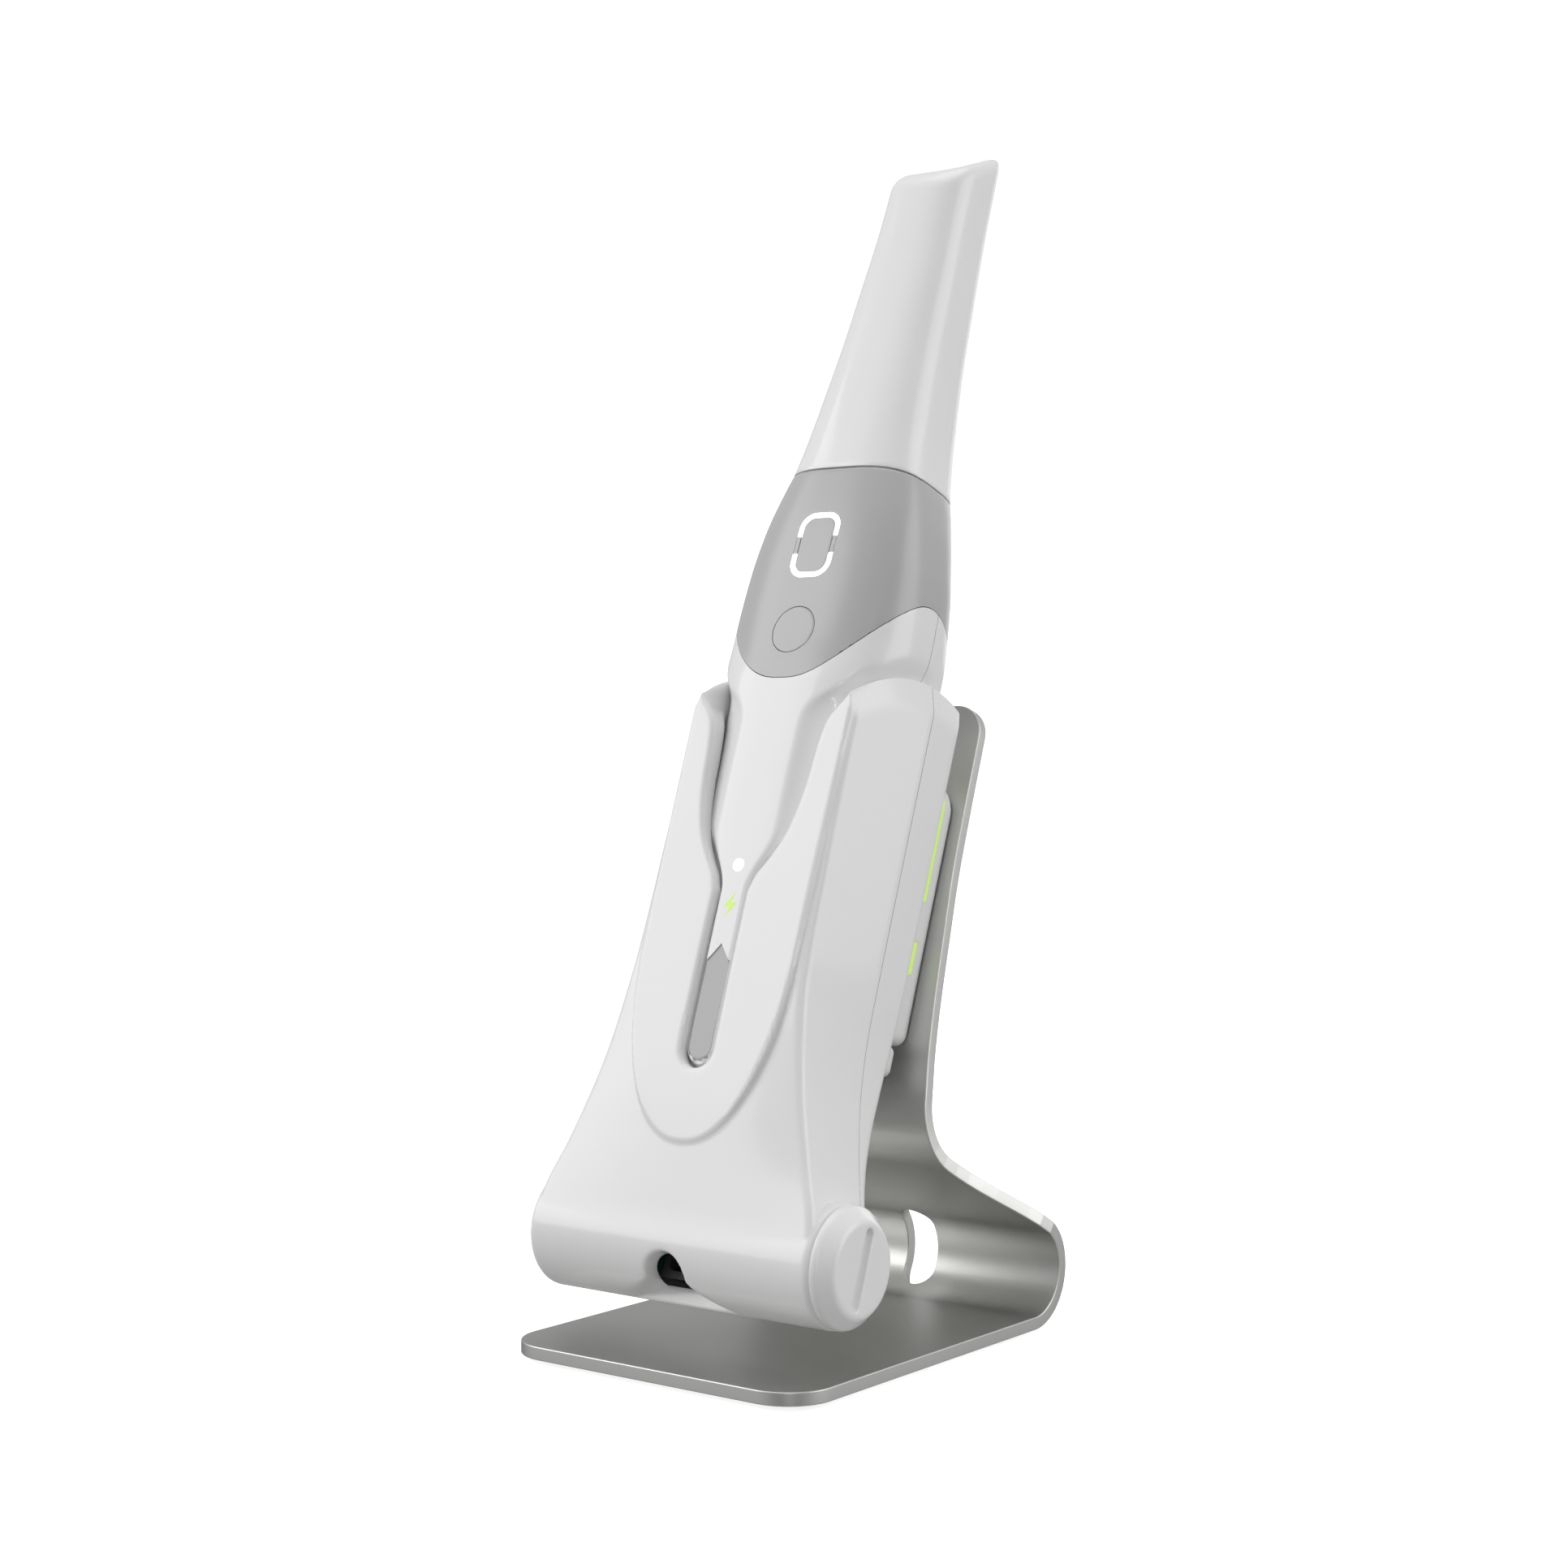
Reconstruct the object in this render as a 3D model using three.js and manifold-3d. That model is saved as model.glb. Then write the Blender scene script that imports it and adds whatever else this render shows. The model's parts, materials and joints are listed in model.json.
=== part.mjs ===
// Wireless intraoral scanner standing in its charging cradle, held by a bent-plate stand.
// Millimetres, +Z up. The front faces -Y. The origin is the middle of the footprint.

import * as THREE from 'three';
import { mergeVertices } from 'three/addons/utils/BufferGeometryUtils.js';
import Module from 'manifold-3d';

const wasm = await Module();
wasm.setup();

// ---------------------------------------------------------------- driving dimensions

const GAP = 0.3; // clearance between parts that touch
const TILT = THREE.MathUtils.degToRad(20); // lean of the cradle and scanner
const AXIS_Y = 19.7; // cradle foot axis behind the front edge of the stand
const AXIS_Z = 26; // cradle foot axis above the underside of the plate

const SHEET = 3; // stand plate thickness
const BASE_HALF = 41.4; // half width of the base
const BASE_LENGTH = 90.9; // flat base, up to the start of the rear bend
const BASE_CORNER = 11;
const REAR_BEND = 11.75; // centreline radius of the rear bend
const REAR_TURN = THREE.MathUtils.degToRad(146.5);
const RAMP_LENGTH = 28.9;
const KNEE_BEND = 13.5; // centreline radius of the bend into the upright
const UPRIGHT_FACE = -34; // front face of the upright, in cradle depth
const UPRIGHT_TOP = 137.7; // top of the upright along the cradle axis
const UPRIGHT_CORNER = 7.5;
const FOOT_RADIUS = 6;
const FOOT_HEIGHT = 1;

const PANEL_FACE = 16.8; // flat front panel of the cradle, in cradle depth
const CRADLE_TOP = 133.2; // crest of the side arms
const CRADLE_SEAM = -9; // depth of the seam between the cradle shells
const CRADLE_FLOOR = 26; // floor of the cradle pocket
const FOOT_BARREL = 13.4; // radius of the round foot of the cradle
const FOOT_HALF = 38.8; // half length of the round foot
const BORE = 9.6; // chamber inside the round foot
const CAP_RISE = 4.3;
const CAP_DISC = 9.5;
const SLOT_HALF = 4.3; // half width of the narrow front slot
const SLOT_BOTTOM = 36;

const MODULE_HALF = 20; // light module behind the cradle
const MODULE_BOTTOM = 54;
const MODULE_TOP = 118;
const MODULE_FRONT = -21.3;
const MODULE_BACK = -33.6;
const MODULE_CORNER = 8;
const LIGHT_DEPTH = -28; // depth of the side light strips
const LIGHT_HALF = 0.9; // half width of a strip

const SCANNER_BOTTOM = 27;
const SCANNER_SEAM = -6.5;
const COLLAR_TOP = 179.6;
const TIP_START = 179.9;
const TIP_FRONT = 260; // front edge of the slanted tip end
const TIP_REAR = 275.5; // rear edge of the slanted tip end
const SHELL = 2; // wall of the scanner shells
const TIP_WALL = 1.3;
const ROUNDNESS = 3.2; // exponent of the rounded-box sections

const SCAN_BUTTON_AT = 159.6;
const POWER_BUTTON_AT = 138.3;
const POWER_BUTTON_RADIUS = 5.7;
const RING_LENGTH = 16.2; // outside of the light ring
const RING_WIDTH = 11.2;
const RING_STROKE = 1;
const RING_CORNER = 3.9;
const RING_BREAK = 4.4; // gap between the two light arcs
const STATUS_AT = 82;
const STATUS_RADIUS = 1.35;
const BOLT_AT = 72.8;

// ---------------------------------------------------------------- materials

const surface = (color, roughness, metalness = 0) =>
  new THREE.MeshStandardMaterial({ color, roughness, metalness });

const WHITE = surface('#efefef', 0.35);
const PEARL = surface('#e4e4e4', 0.4);
const GREY = surface('#b4b4b4', 0.4);
const PALE_GREY = surface('#bdbdbd', 0.45);
const DARK = surface('#2c2d2f', 0.6);
const RUBBER = surface('#3a3b3d', 0.85);
const BOARD = surface('#1f5b3a', 0.6);
const ALUMINIUM = surface('#a9a9a4', 0.35, 0.9);
const STEEL = surface('#c4c4c4', 0.3, 1);
const GOLD = surface('#d8b25a', 0.3, 1);
const GREEN_LIGHT = surface('#bfdd80', 0.4);
const WHITE_LIGHT = surface('#ffffff', 0.3);
const LENS = surface('#22303c', 0.05);
const MIRROR = surface('#d8dde0', 0.02, 1);
const CELL = surface('#5d6e85', 0.5);

// ---------------------------------------------------------------- helpers

// Every cradle and scanner part is drawn in the cradle frame: x across, Y = -depth, Z = along the axis.
const at = (x, depth, along) => new THREE.Vector3(x, -depth, along);

// A smooth function through a short list of [position, value] pairs.
function curve(pairs) {
  const slope = (i) => {
    const low = pairs[Math.max(i - 1, 0)];
    const high = pairs[Math.min(i + 1, pairs.length - 1)];
    return (high[1] - low[1]) / (high[0] - low[0]);
  };
  return (t) => {
    if (t <= pairs[0][0]) return pairs[0][1];
    if (t >= pairs[pairs.length - 1][0]) return pairs[pairs.length - 1][1];
    const i = pairs.findIndex((pair) => pair[0] > t) - 1;
    const span = pairs[i + 1][0] - pairs[i][0];
    const s = (t - pairs[i][0]) / span;
    const a = 2 * s ** 3 - 3 * s ** 2 + 1;
    const b = s ** 3 - 2 * s ** 2 + s;
    const c = s ** 3 - s ** 2;
    return a * pairs[i][1] + b * span * slope(i) + (1 - a) * pairs[i + 1][1] + c * span * slope(i + 1);
  };
}

const smoothstep = (t, low, high) => THREE.MathUtils.smoothstep(t, low, high);

// A closed solid through rings of equal length, each running counter-clockwise seen from the far end.
function loft(rings) {
  const count = rings[0].length;
  const centre = (ring) => ring.reduce((sum, p) => sum.add(p), new THREE.Vector3()).divideScalar(count);
  const points = [...rings.flat(), centre(rings[0]), centre(rings[rings.length - 1])];
  const first = rings.length * count;
  const index = [];
  for (let j = 0; j < count; j++) {
    const k = (j + 1) % count;
    for (let i = 0; i < rings.length - 1; i++) {
      const low = i * count;
      index.push(low + j, low + k, low + count + k, low + j, low + count + k, low + count + j);
    }
    index.push(first, k, j, first + 1, first - count + j, first - count + k);
  }
  const geometry = new THREE.BufferGeometry();
  geometry.setAttribute('position', new THREE.Float32BufferAttribute(points.flatMap((p) => p.toArray()), 3));
  geometry.setIndex(index);
  return geometry;
}

// A rounded-box ring at one height: half width, front depth, rear depth.
function roundedRing(along, { half, front, rear }, count = 28, power = ROUNDNESS) {
  const ring = [];
  const thick = (front - rear) / 2;
  for (let i = 0; i < count; i++) {
    const angle = (i / count) * 2 * Math.PI;
    const c = Math.cos(angle);
    const s = Math.sin(angle);
    const reach = (Math.abs(c / half) ** power + Math.abs(s / thick) ** power) ** (-1 / power);
    ring.push(new THREE.Vector3(reach * c, reach * s - (front + rear) / 2, along));
  }
  return ring;
}

const heights = (low, high, steps) =>
  Array.from({ length: steps + 1 }, (_, i) => low + ((high - low) * i) / steps);

const inset = ({ half, front, rear }, wall) =>
  ({ half: half - wall, front: front - wall, rear: rear + wall });

// A flat outline in (x, along), extruded between two depths.
function slab(shape, back, front, curveSegments = 3) {
  const options = { depth: front - back, bevelEnabled: false, curveSegments };
  return new THREE.ExtrudeGeometry(shape, options).rotateX(Math.PI / 2).translate(0, -back, 0);
}

// A block between two corners given as [x, depth, along].
function block(low, high) {
  const size = high.map((value, i) => Math.abs(value - low[i]));
  const middle = high.map((value, i) => (value + low[i]) / 2);
  return new THREE.BoxGeometry(...size).translate(middle[0], -middle[1], middle[2]);
}

// A round bar along depth, from back to front.
const rod = (x, along, radius, back, front, segments = 20) =>
  new THREE.CylinderGeometry(radius, radius, front - back, segments).translate(x, -(back + front) / 2, along);

// A round bar along x.
const axle = (radius, low, high, segments = 32) =>
  new THREE.CylinderGeometry(radius, radius, high - low, segments)
    .rotateZ(Math.PI / 2)
    .translate((low + high) / 2, 0, 0);

function roundedOutline(halfWidth, bottom, top, corner, topCorner = corner) {
  const shape = new THREE.Shape();
  shape.absarc(halfWidth - corner, bottom + corner, corner, -Math.PI / 2, 0);
  shape.absarc(halfWidth - topCorner, top - topCorner, topCorner, 0, Math.PI / 2);
  shape.absarc(topCorner - halfWidth, top - topCorner, topCorner, Math.PI / 2, Math.PI);
  shape.absarc(corner - halfWidth, bottom + corner, corner, Math.PI, 1.5 * Math.PI);
  shape.closePath();
  return shape;
}

// The outline of a form that is symmetric about x = 0, from its right edge as a half-width function.
function mirroredOutline(halfWidth, stops) {
  const right = stops.map((along) => new THREE.Vector2(halfWidth(along), along));
  const left = [...right].reverse().map((p) => new THREE.Vector2(-p.x, p.y));
  return new THREE.Shape([...right, ...left]);
}

function solid(geometry) {
  const bare = geometry.clone();
  bare.deleteAttribute('normal');
  bare.deleteAttribute('uv');
  const merged = mergeVertices(bare, 1e-4);
  const vertProperties = new Float32Array(merged.attributes.position.array);
  const triVerts = new Uint32Array(merged.index.array);
  return new wasm.Manifold(new wasm.Mesh({ numProp: 3, vertProperties, triVerts }));
}

const cut = (body, ...tools) => tools.reduce((rest, tool) => rest.subtract(solid(tool)), body);
const join = (body, ...others) => others.reduce((sum, other) => sum.add(solid(other)), body);

function place(parent, name, shape, material) {
  let geometry = shape;
  if (!shape.isBufferGeometry) {
    const { vertProperties, triVerts } = shape.getMesh();
    geometry = new THREE.BufferGeometry();
    geometry.setAttribute('position', new THREE.Float32BufferAttribute(vertProperties, 3));
    geometry.setIndex(Array.from(triVerts));
  }
  const part = new THREE.Mesh(geometry, material);
  part.name = name;
  parent.add(part);
  return part;
}

const FAR = 200; // larger than any part, for cutting blocks
const inFrontOf = (depth) => block([-FAR, depth, -FAR], [FAR, FAR, 2 * FAR]);
const behind = (depth) => block([-FAR, -FAR, -FAR], [FAR, depth, 2 * FAR]);

// ---------------------------------------------------------------- groups

const object = new THREE.Group();
const cradle = new THREE.Group();
cradle.position.set(0, AXIS_Y, AXIS_Z);
cradle.rotation.x = -TILT;
object.add(cradle);

// ---------------------------------------------------------------- stand

// The bent plate: stations along its centreline, each with a place, a heading and a half width.
function standPlate() {
  const taper = curve([
    [116, BASE_HALF], [121.5, 41.1], [127.7, 39.1], [135.4, 35.1], [143, 31.7], [152, 29.4],
    [160, 28.2], [168, 27.2], [177.5, 25.7], [190, 24.4], [206, 23.3], [223, 22.3], [254, 22],
  ]);
  const rearArc = REAR_BEND * REAR_TURN;
  const kneeTurn = REAR_TURN - (Math.PI / 2 - TILT);
  const kneeStart = BASE_LENGTH + rearArc + RAMP_LENGTH;
  const kneeEnd = kneeStart + KNEE_BEND * kneeTurn;
  const kneeTangent = (KNEE_BEND - SHEET / 2) * Math.tan(kneeTurn / 2);
  const length = kneeEnd + UPRIGHT_TOP - 34 - kneeTangent;
  const rings = [];
  const pose = { y: 0, z: SHEET / 2, heading: 0, s: 0 };

  const addRing = (half) => {
    const across = new THREE.Vector3(0, -Math.sin(pose.heading), Math.cos(pose.heading));
    const corner = (x, side) =>
      new THREE.Vector3(x, pose.y, pose.z).addScaledVector(across, (side * SHEET) / 2);
    rings.push([corner(half, 1), corner(half, -1), corner(-half, -1), corner(-half, 1)]);
  };
  const advance = (target, turn = 0) => {
    const step = target - pose.s;
    pose.heading += turn / 2;
    pose.y += step * Math.cos(pose.heading);
    pose.z += step * Math.sin(pose.heading);
    pose.heading += turn / 2;
    pose.s = target;
  };
  const rounded = (fromEnd, radius) => Math.sqrt(radius ** 2 - (radius - fromEnd) ** 2) - radius;

  addRing(BASE_HALF - BASE_CORNER);
  for (let i = 1; i <= 6; i++) {
    advance(BASE_CORNER * (1 - Math.cos((i * Math.PI) / 12)));
    addRing(BASE_HALF + rounded(pose.s, BASE_CORNER));
  }
  advance(BASE_LENGTH);
  addRing(BASE_HALF);
  const rearSteps = 14;
  for (let i = 1; i <= rearSteps; i++) {
    advance(BASE_LENGTH + (rearArc * i) / rearSteps, REAR_TURN / rearSteps);
    addRing(taper(pose.s));
  }
  for (let i = 1; i <= 5; i++) {
    advance(BASE_LENGTH + rearArc + (RAMP_LENGTH * i) / 5);
    addRing(taper(pose.s));
  }
  const kneeSteps = 8;
  for (let i = 1; i <= kneeSteps; i++) {
    advance(kneeStart + ((kneeEnd - kneeStart) * i) / kneeSteps, -kneeTurn / kneeSteps);
    addRing(taper(pose.s));
  }
  for (const s of [178, 190, 206, 223, length - UPRIGHT_CORNER]) {
    advance(s);
    addRing(taper(pose.s));
  }
  for (let i = 1; i <= 6; i++) {
    advance(length - UPRIGHT_CORNER * (1 - Math.sin((i * Math.PI) / 12)));
    addRing(taper(pose.s) + rounded(length - pose.s, UPRIGHT_CORNER));
  }
  return loft(rings);
}

const CABLE_HOLE = { x: 3, half: 4.2, bottom: 3.6, top: 24 };
const SCREW_SPOTS = [[-12, 68], [12, 68], [-12, 106], [12, 106]];
const SCREW_RADIUS = 1.5;
const SCREW_CLEAR = SCREW_RADIUS + GAP;

const cableHole = slab(
  roundedOutline(CABLE_HOLE.half, CABLE_HOLE.bottom, CABLE_HOLE.top, CABLE_HOLE.half - 0.01),
  -BASE_LENGTH - 20,
  -BASE_LENGTH - 2,
).translate(CABLE_HOLE.x, 0, 0);
const toStand = (geometry) => geometry.rotateX(-TILT).translate(0, AXIS_Y, AXIS_Z);
const uprightHoles = SCREW_SPOTS.map(([x, along]) =>
  toStand(rod(x, along, SCREW_CLEAR, UPRIGHT_FACE - 6, UPRIGHT_FACE + 2)));
place(object, 'stand_plate', cut(solid(standPlate()), cableHole, ...uprightHoles), ALUMINIUM);

[[-31, 12], [31, 12], [-31, 84], [31, 84]].forEach(([x, y], i) => {
  const pad = new THREE.CylinderGeometry(FOOT_RADIUS, FOOT_RADIUS, FOOT_HEIGHT, 24).rotateX(Math.PI / 2);
  const foot = place(object, `rubber_foot_${i + 1}`, pad, RUBBER);
  foot.position.set(x, y, -GAP - FOOT_HEIGHT / 2);
});

const screwProfile = [
  [0, -11.5], [SCREW_RADIUS, -11.5], [SCREW_RADIUS, 0], [2.9, 0], [2.9, 1], [2.2, 1.7], [0, 1.7],
];
SCREW_SPOTS.forEach(([x, along], i) => {
  const points = screwProfile.map(([radius, height]) => new THREE.Vector2(radius, height));
  const screw = place(cradle, `plate_screw_${i + 1}`, new THREE.LatheGeometry(points, 12), STEEL);
  screw.position.copy(at(x, UPRIGHT_FACE - SHEET - GAP, along));
});

// ---------------------------------------------------------------- light module

const moduleOutline = (grow) =>
  roundedOutline(
    MODULE_HALF + grow, MODULE_BOTTOM - grow, MODULE_TOP + grow, 2.5 + grow * 0.5, MODULE_CORNER + grow,
  );

// The band of a side light: from its low end up the side, and round the top corner when it is long.
function lightBand(low, high, inner, outer, wraps, fit = 0) {
  const shape = new THREE.Shape();
  const x = MODULE_HALF;
  const turn = MODULE_TOP - MODULE_CORNER;
  shape.moveTo(x + outer, low);
  if (wraps) {
    shape.lineTo(x + outer, turn);
    shape.absarc(x - MODULE_CORNER, turn, MODULE_CORNER + outer, 0, Math.PI / 2);
    shape.lineTo(x - MODULE_CORNER - fit, MODULE_TOP + outer);
    shape.lineTo(x - MODULE_CORNER - fit, MODULE_TOP - inner);
    shape.absarc(x - MODULE_CORNER, turn, MODULE_CORNER - inner, Math.PI / 2, 0, true);
  } else {
    shape.lineTo(x + outer, high);
    shape.lineTo(x - inner, high);
  }
  shape.lineTo(x - inner, low);
  shape.closePath();
  return shape;
}

const SIDE_LIGHTS = [
  { name: 'long', low: 87.8, high: MODULE_TOP, wraps: true },
  { name: 'short', low: 70.4, high: 78.1, wraps: false },
];
const LIGHT_FIT = 0.15; // clearance round a light guide in its slot

function moduleHousing() {
  const posts = SCREW_SPOTS.map(([x, along]) => rod(x, along, 3.2, MODULE_BACK + 2.2, MODULE_FRONT - 1));
  const holes = SCREW_SPOTS.map(([x, along]) => rod(x, along, SCREW_CLEAR, MODULE_BACK - 1, -24.5));
  const slots = SIDE_LIGHTS.flatMap(({ low, high, wraps }) => [1, -1].map((side) => {
    const band = lightBand(low - LIGHT_FIT, high + LIGHT_FIT, 3, 1, wraps, LIGHT_FIT);
    const slot = slab(band, LIGHT_DEPTH - LIGHT_HALF - LIGHT_FIT, LIGHT_DEPTH + LIGHT_HALF + LIGHT_FIT);
    return side > 0 ? slot : slot.rotateZ(Math.PI).translate(0, 2 * -LIGHT_DEPTH, 0);
  }));
  const outer = solid(slab(moduleOutline(0), MODULE_BACK, MODULE_FRONT));
  const hollow = slab(moduleOutline(-1.8), MODULE_BACK - 1, MODULE_FRONT - 2);
  const lidSeat = slab(moduleOutline(-0.8), MODULE_BACK - 1, MODULE_BACK + 1.8);
  return cut(join(cut(outer, hollow, lidSeat), ...posts), ...holes, ...slots);
}
place(cradle, 'module_housing', moduleHousing(), PEARL);

const coverHoles = SCREW_SPOTS.map(([x, along]) => rod(x, along, SCREW_CLEAR, MODULE_BACK - 1, -30));
const cover = slab(moduleOutline(-0.8 - GAP), MODULE_BACK, MODULE_BACK + 1.5);
place(cradle, 'module_cover', cut(solid(cover), ...coverHoles), PEARL);

for (const { name, low, high, wraps } of SIDE_LIGHTS) {
  for (const [label, side] of [['right', 1], ['left', -1]]) {
    const band = lightBand(low, high, 2.4, 0.05, wraps);
    const strip = slab(band, LIGHT_DEPTH - LIGHT_HALF, LIGHT_DEPTH + LIGHT_HALF);
    if (side < 0) strip.rotateZ(Math.PI).translate(0, 2 * -LIGHT_DEPTH, 0);
    place(cradle, `${name}_light_${label}`, strip, GREEN_LIGHT);
  }
}
place(cradle, 'light_board', block([-16, -25.6, 74], [16, -24.4, 100]), BOARD);
place(cradle, 'hanger_block', slab(roundedOutline(MODULE_HALF, 46, 53.6, 2), -29.5, MODULE_FRONT), PEARL);

// ---------------------------------------------------------------- cradle shells

const skirt = {
  front: curve([[0, 13.3], [10, 14.4], [20, 15.3], [30, 15.9], [50, 16.1], [140, 16.1]]),
  ridge: curve([
    [0, 38.6], [8.3, 37.2], [16.5, 34.1], [27.6, 30.4], [34.4, 28.4],
    [41.8, 26.7], [49.8, 25.3], [57.4, 24.3], [70, 23.8], [140, 23.8],
  ]),
  ridgeDepth: curve([[0, 13.1], [16.5, 13.1], [27.6, 13.6], [41.8, 14.5], [57.4, 15.5], [140, 15.7]]),
  side: curve([[0, 37.8], [8, 35.4], [17, 32.5], [29, 29.3], [41, 27.1], [55, 26.1], [140, 26]]),
  rear: curve([[0, -13.3], [10, -13.4], [20, -14.3], [30, -16.7], [40, -19.3], [50, -20.7], [60, -21]]),
};

function skirtRing(along) {
  const [front, ridge, depth, side, rear] =
    ['front', 'ridge', 'ridgeDepth', 'side', 'rear'].map((key) => skirt[key](along));
  const right = [
    [0.6 * ridge, THREE.MathUtils.lerp(depth, front, 0.75)], [ridge - 0.8, depth + 0.1],
    [ridge + 0.2, depth - 1], [side, -8], [side - 0.6, rear + 5], [side - 2, rear + 1.4], [side - 5.5, rear],
  ];
  const left = [...right].reverse().map(([x, d]) => [-x, d]);
  const clockwise = [[0, front], ...right, [0, rear], ...left];
  return clockwise.map(([x, d]) => at(x, d, along));
}

const panelHalf = curve([
  [19.5, 0], [20.4, 5], [22.9, 9.4], [29.4, 14.5], [39.6, 18.2],
  [49.7, 20.4], [64, 21.6], [84, 22.1], [140, 22.3],
]);
const openingHalf = curve([
  [76, SLOT_HALF], [80, 5.8], [83.5, 8.2], [89, 11.2], [95, 13], [101.5, 14.1],
  [110, 14.8], [116, 16], [120.5, 19.6], [124, 25],
]);
const POCKET_HALF = 21.3; // half width of the opening behind the front skin of the arms
const crest = (depth) => CRADLE_TOP - 13 * ((depth + 9) / 26) ** 2;

// The scanner's grip, which is the part that the cradle holds.
const grip = {
  half: curve([[27, 15.4], [45, 17.2], [70, 18.8], [100, 20.3], [140, 21]]),
  front: curve([[27, 12.2], [60, 13], [90, 13.4], [140, 13.4]]),
  rear: curve([[27, -10.4], [35, -12.9], [45, -15.2], [60, -16.5], [100, -17.6], [140, -18.4]]),
};
const gripAt = (along) => ({ half: grip.half(along), front: grip.front(along), rear: grip.rear(along) });

// The space above the arms: it follows the crest over depth, and falls away outside the crest line.
function aboveArms() {
  const depths = heights(-26, 24, 14);
  return loft([-34, -22.6, 22.6, 34].map((x) => {
    const drop = Math.max(0, Math.abs(x) - 22.6) * 2.3;
    const edge = depths.map((depth) => at(x, depth, crest(depth) - drop));
    return [...edge, at(x, 24, 190), at(x, -26, 190)].reverse();
  }));
}

function keyhole() {
  const bottom = heights(-90, 0, 6).map((degrees) => {
    const angle = THREE.MathUtils.degToRad(degrees);
    return [SLOT_HALF * Math.cos(angle), SLOT_BOTTOM + SLOT_HALF * (1 + Math.sin(angle))];
  });
  const sides = [76, 78, 80, 82, 84, 87, 90, 94, 98, 103, 109, 115, 118, 120.5, 124, 150];
  const opening = (most, back) => {
    const right = [...bottom, ...sides.map((along) => [Math.min(openingHalf(along), most), along])];
    const points = right.map(([x, along]) => new THREE.Vector2(x, along));
    const left = [...points].reverse().slice(0, -1).map((p) => new THREE.Vector2(-p.x, p.y));
    return slab(new THREE.Shape([...points, ...left]), back, 30);
  };
  return [opening(POCKET_HALF, 6), opening(FAR, 12)];
}

// The notch for the mains lead, an inverted U under the front of the foot.
function cableNotch() {
  const shape = new THREE.Shape();
  shape.moveTo(-15, -18);
  shape.bezierCurveTo(-9, -14, -4.6, -13, -4.3, -9);
  shape.absarc(0, -9, 4.3, Math.PI, 0, true);
  shape.bezierCurveTo(4.6, -13, 9, -14, 15, -18);
  shape.closePath();
  return slab(shape, 1, 20, 6);
}

function cradleBody() {
  const stops = [0, 5, 10, 16, 22, 30, 38, 46, 56, 70, 112, 138];
  const panelStops = [19.5, 19.9, 21, 23, 26, 30, 36, 44, 54, 68, 84, 138];
  const form = join(
    solid(loft(stops.map(skirtRing))),
    axle(FOOT_BARREL, -FOOT_HALF, FOOT_HALF, 40),
    slab(mirroredOutline((along) => panelHalf(along) || 0.5, panelStops), 8, PANEL_FACE),
  );
  const pocket = loft([26, 35, 45, 60, 80, 110, 145].map((along) =>
    roundedRing(along, inset(gripAt(Math.max(along, SCANNER_BOTTOM)), -0.5), 28)));
  const bore = axle(BORE, -33, FOOT_HALF + 5, 28);
  const contactWell = block([-12, -8, 0], [12, 8, CRADLE_FLOOR + 1]);
  return cut(form, aboveArms(), ...keyhole(), pocket, bore, contactWell, cableNotch());
}

const dockBody = cradleBody();
place(cradle, 'cradle_front_shell', cut(dockBody, behind(CRADLE_SEAM + GAP / 2)), WHITE);
place(cradle, 'cradle_rear_shell', cut(dockBody, inFrontOf(CRADLE_SEAM - GAP / 2)), WHITE);

// ---------------------------------------------------------------- foot chamber and coin cap

function coinCap() {
  const profile = [
    [0, -7], [7.2, -7], [7.2, -1.5], [BORE - GAP, -1.5], [BORE - GAP, 0], [FOOT_BARREL - 0.2, 0],
    [FOOT_BARREL - 0.2, 1], [CAP_DISC + 0.5, CAP_RISE - 0.2], [CAP_DISC - 0.3, CAP_RISE], [0, CAP_RISE],
  ];
  const points = profile.map(([radius, height]) => new THREE.Vector2(radius, height));
  const turned = new THREE.LatheGeometry(points, 32).rotateZ(-Math.PI / 2);
  const slot = new THREE.BoxGeometry(2.4, 2.5, 17.5).translate(CAP_RISE, 0, 0);
  return cut(solid(turned), slot);
}
place(cradle, 'coin_cap', coinCap(), WHITE).position.x = FOOT_HALF + GAP;

const sealRing = new THREE.TorusGeometry(8.4, 0.8, 6, 20).rotateY(Math.PI / 2);
place(cradle, 'cap_seal', sealRing, RUBBER).position.x = FOOT_HALF + GAP - 3;

const socketShell = cut(
  solid(block([-6, -2.4, -8.2], [6, 3.8, -2])),
  slab(roundedOutline(4.5, -6.7, -3.5, 1.5), -1, 6),
);
place(cradle, 'power_socket', socketShell, DARK);
place(cradle, 'cradle_circuit_board', block([-27, -4.3, -7], [27, -2.8, 7]), BOARD);
place(cradle, 'contact_block', block([-9, -6, 13], [9, 6, 23.5]), DARK);
[-5, 0, 5].forEach((x, i) => {
  const pin = new THREE.CylinderGeometry(0.7, 0.9, 2.6, 12).rotateX(Math.PI / 2);
  place(cradle, `charge_pin_${i + 1}`, pin, GOLD).position.copy(at(x, 0, 25.2));
});

// ---------------------------------------------------------------- scanner body

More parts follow.
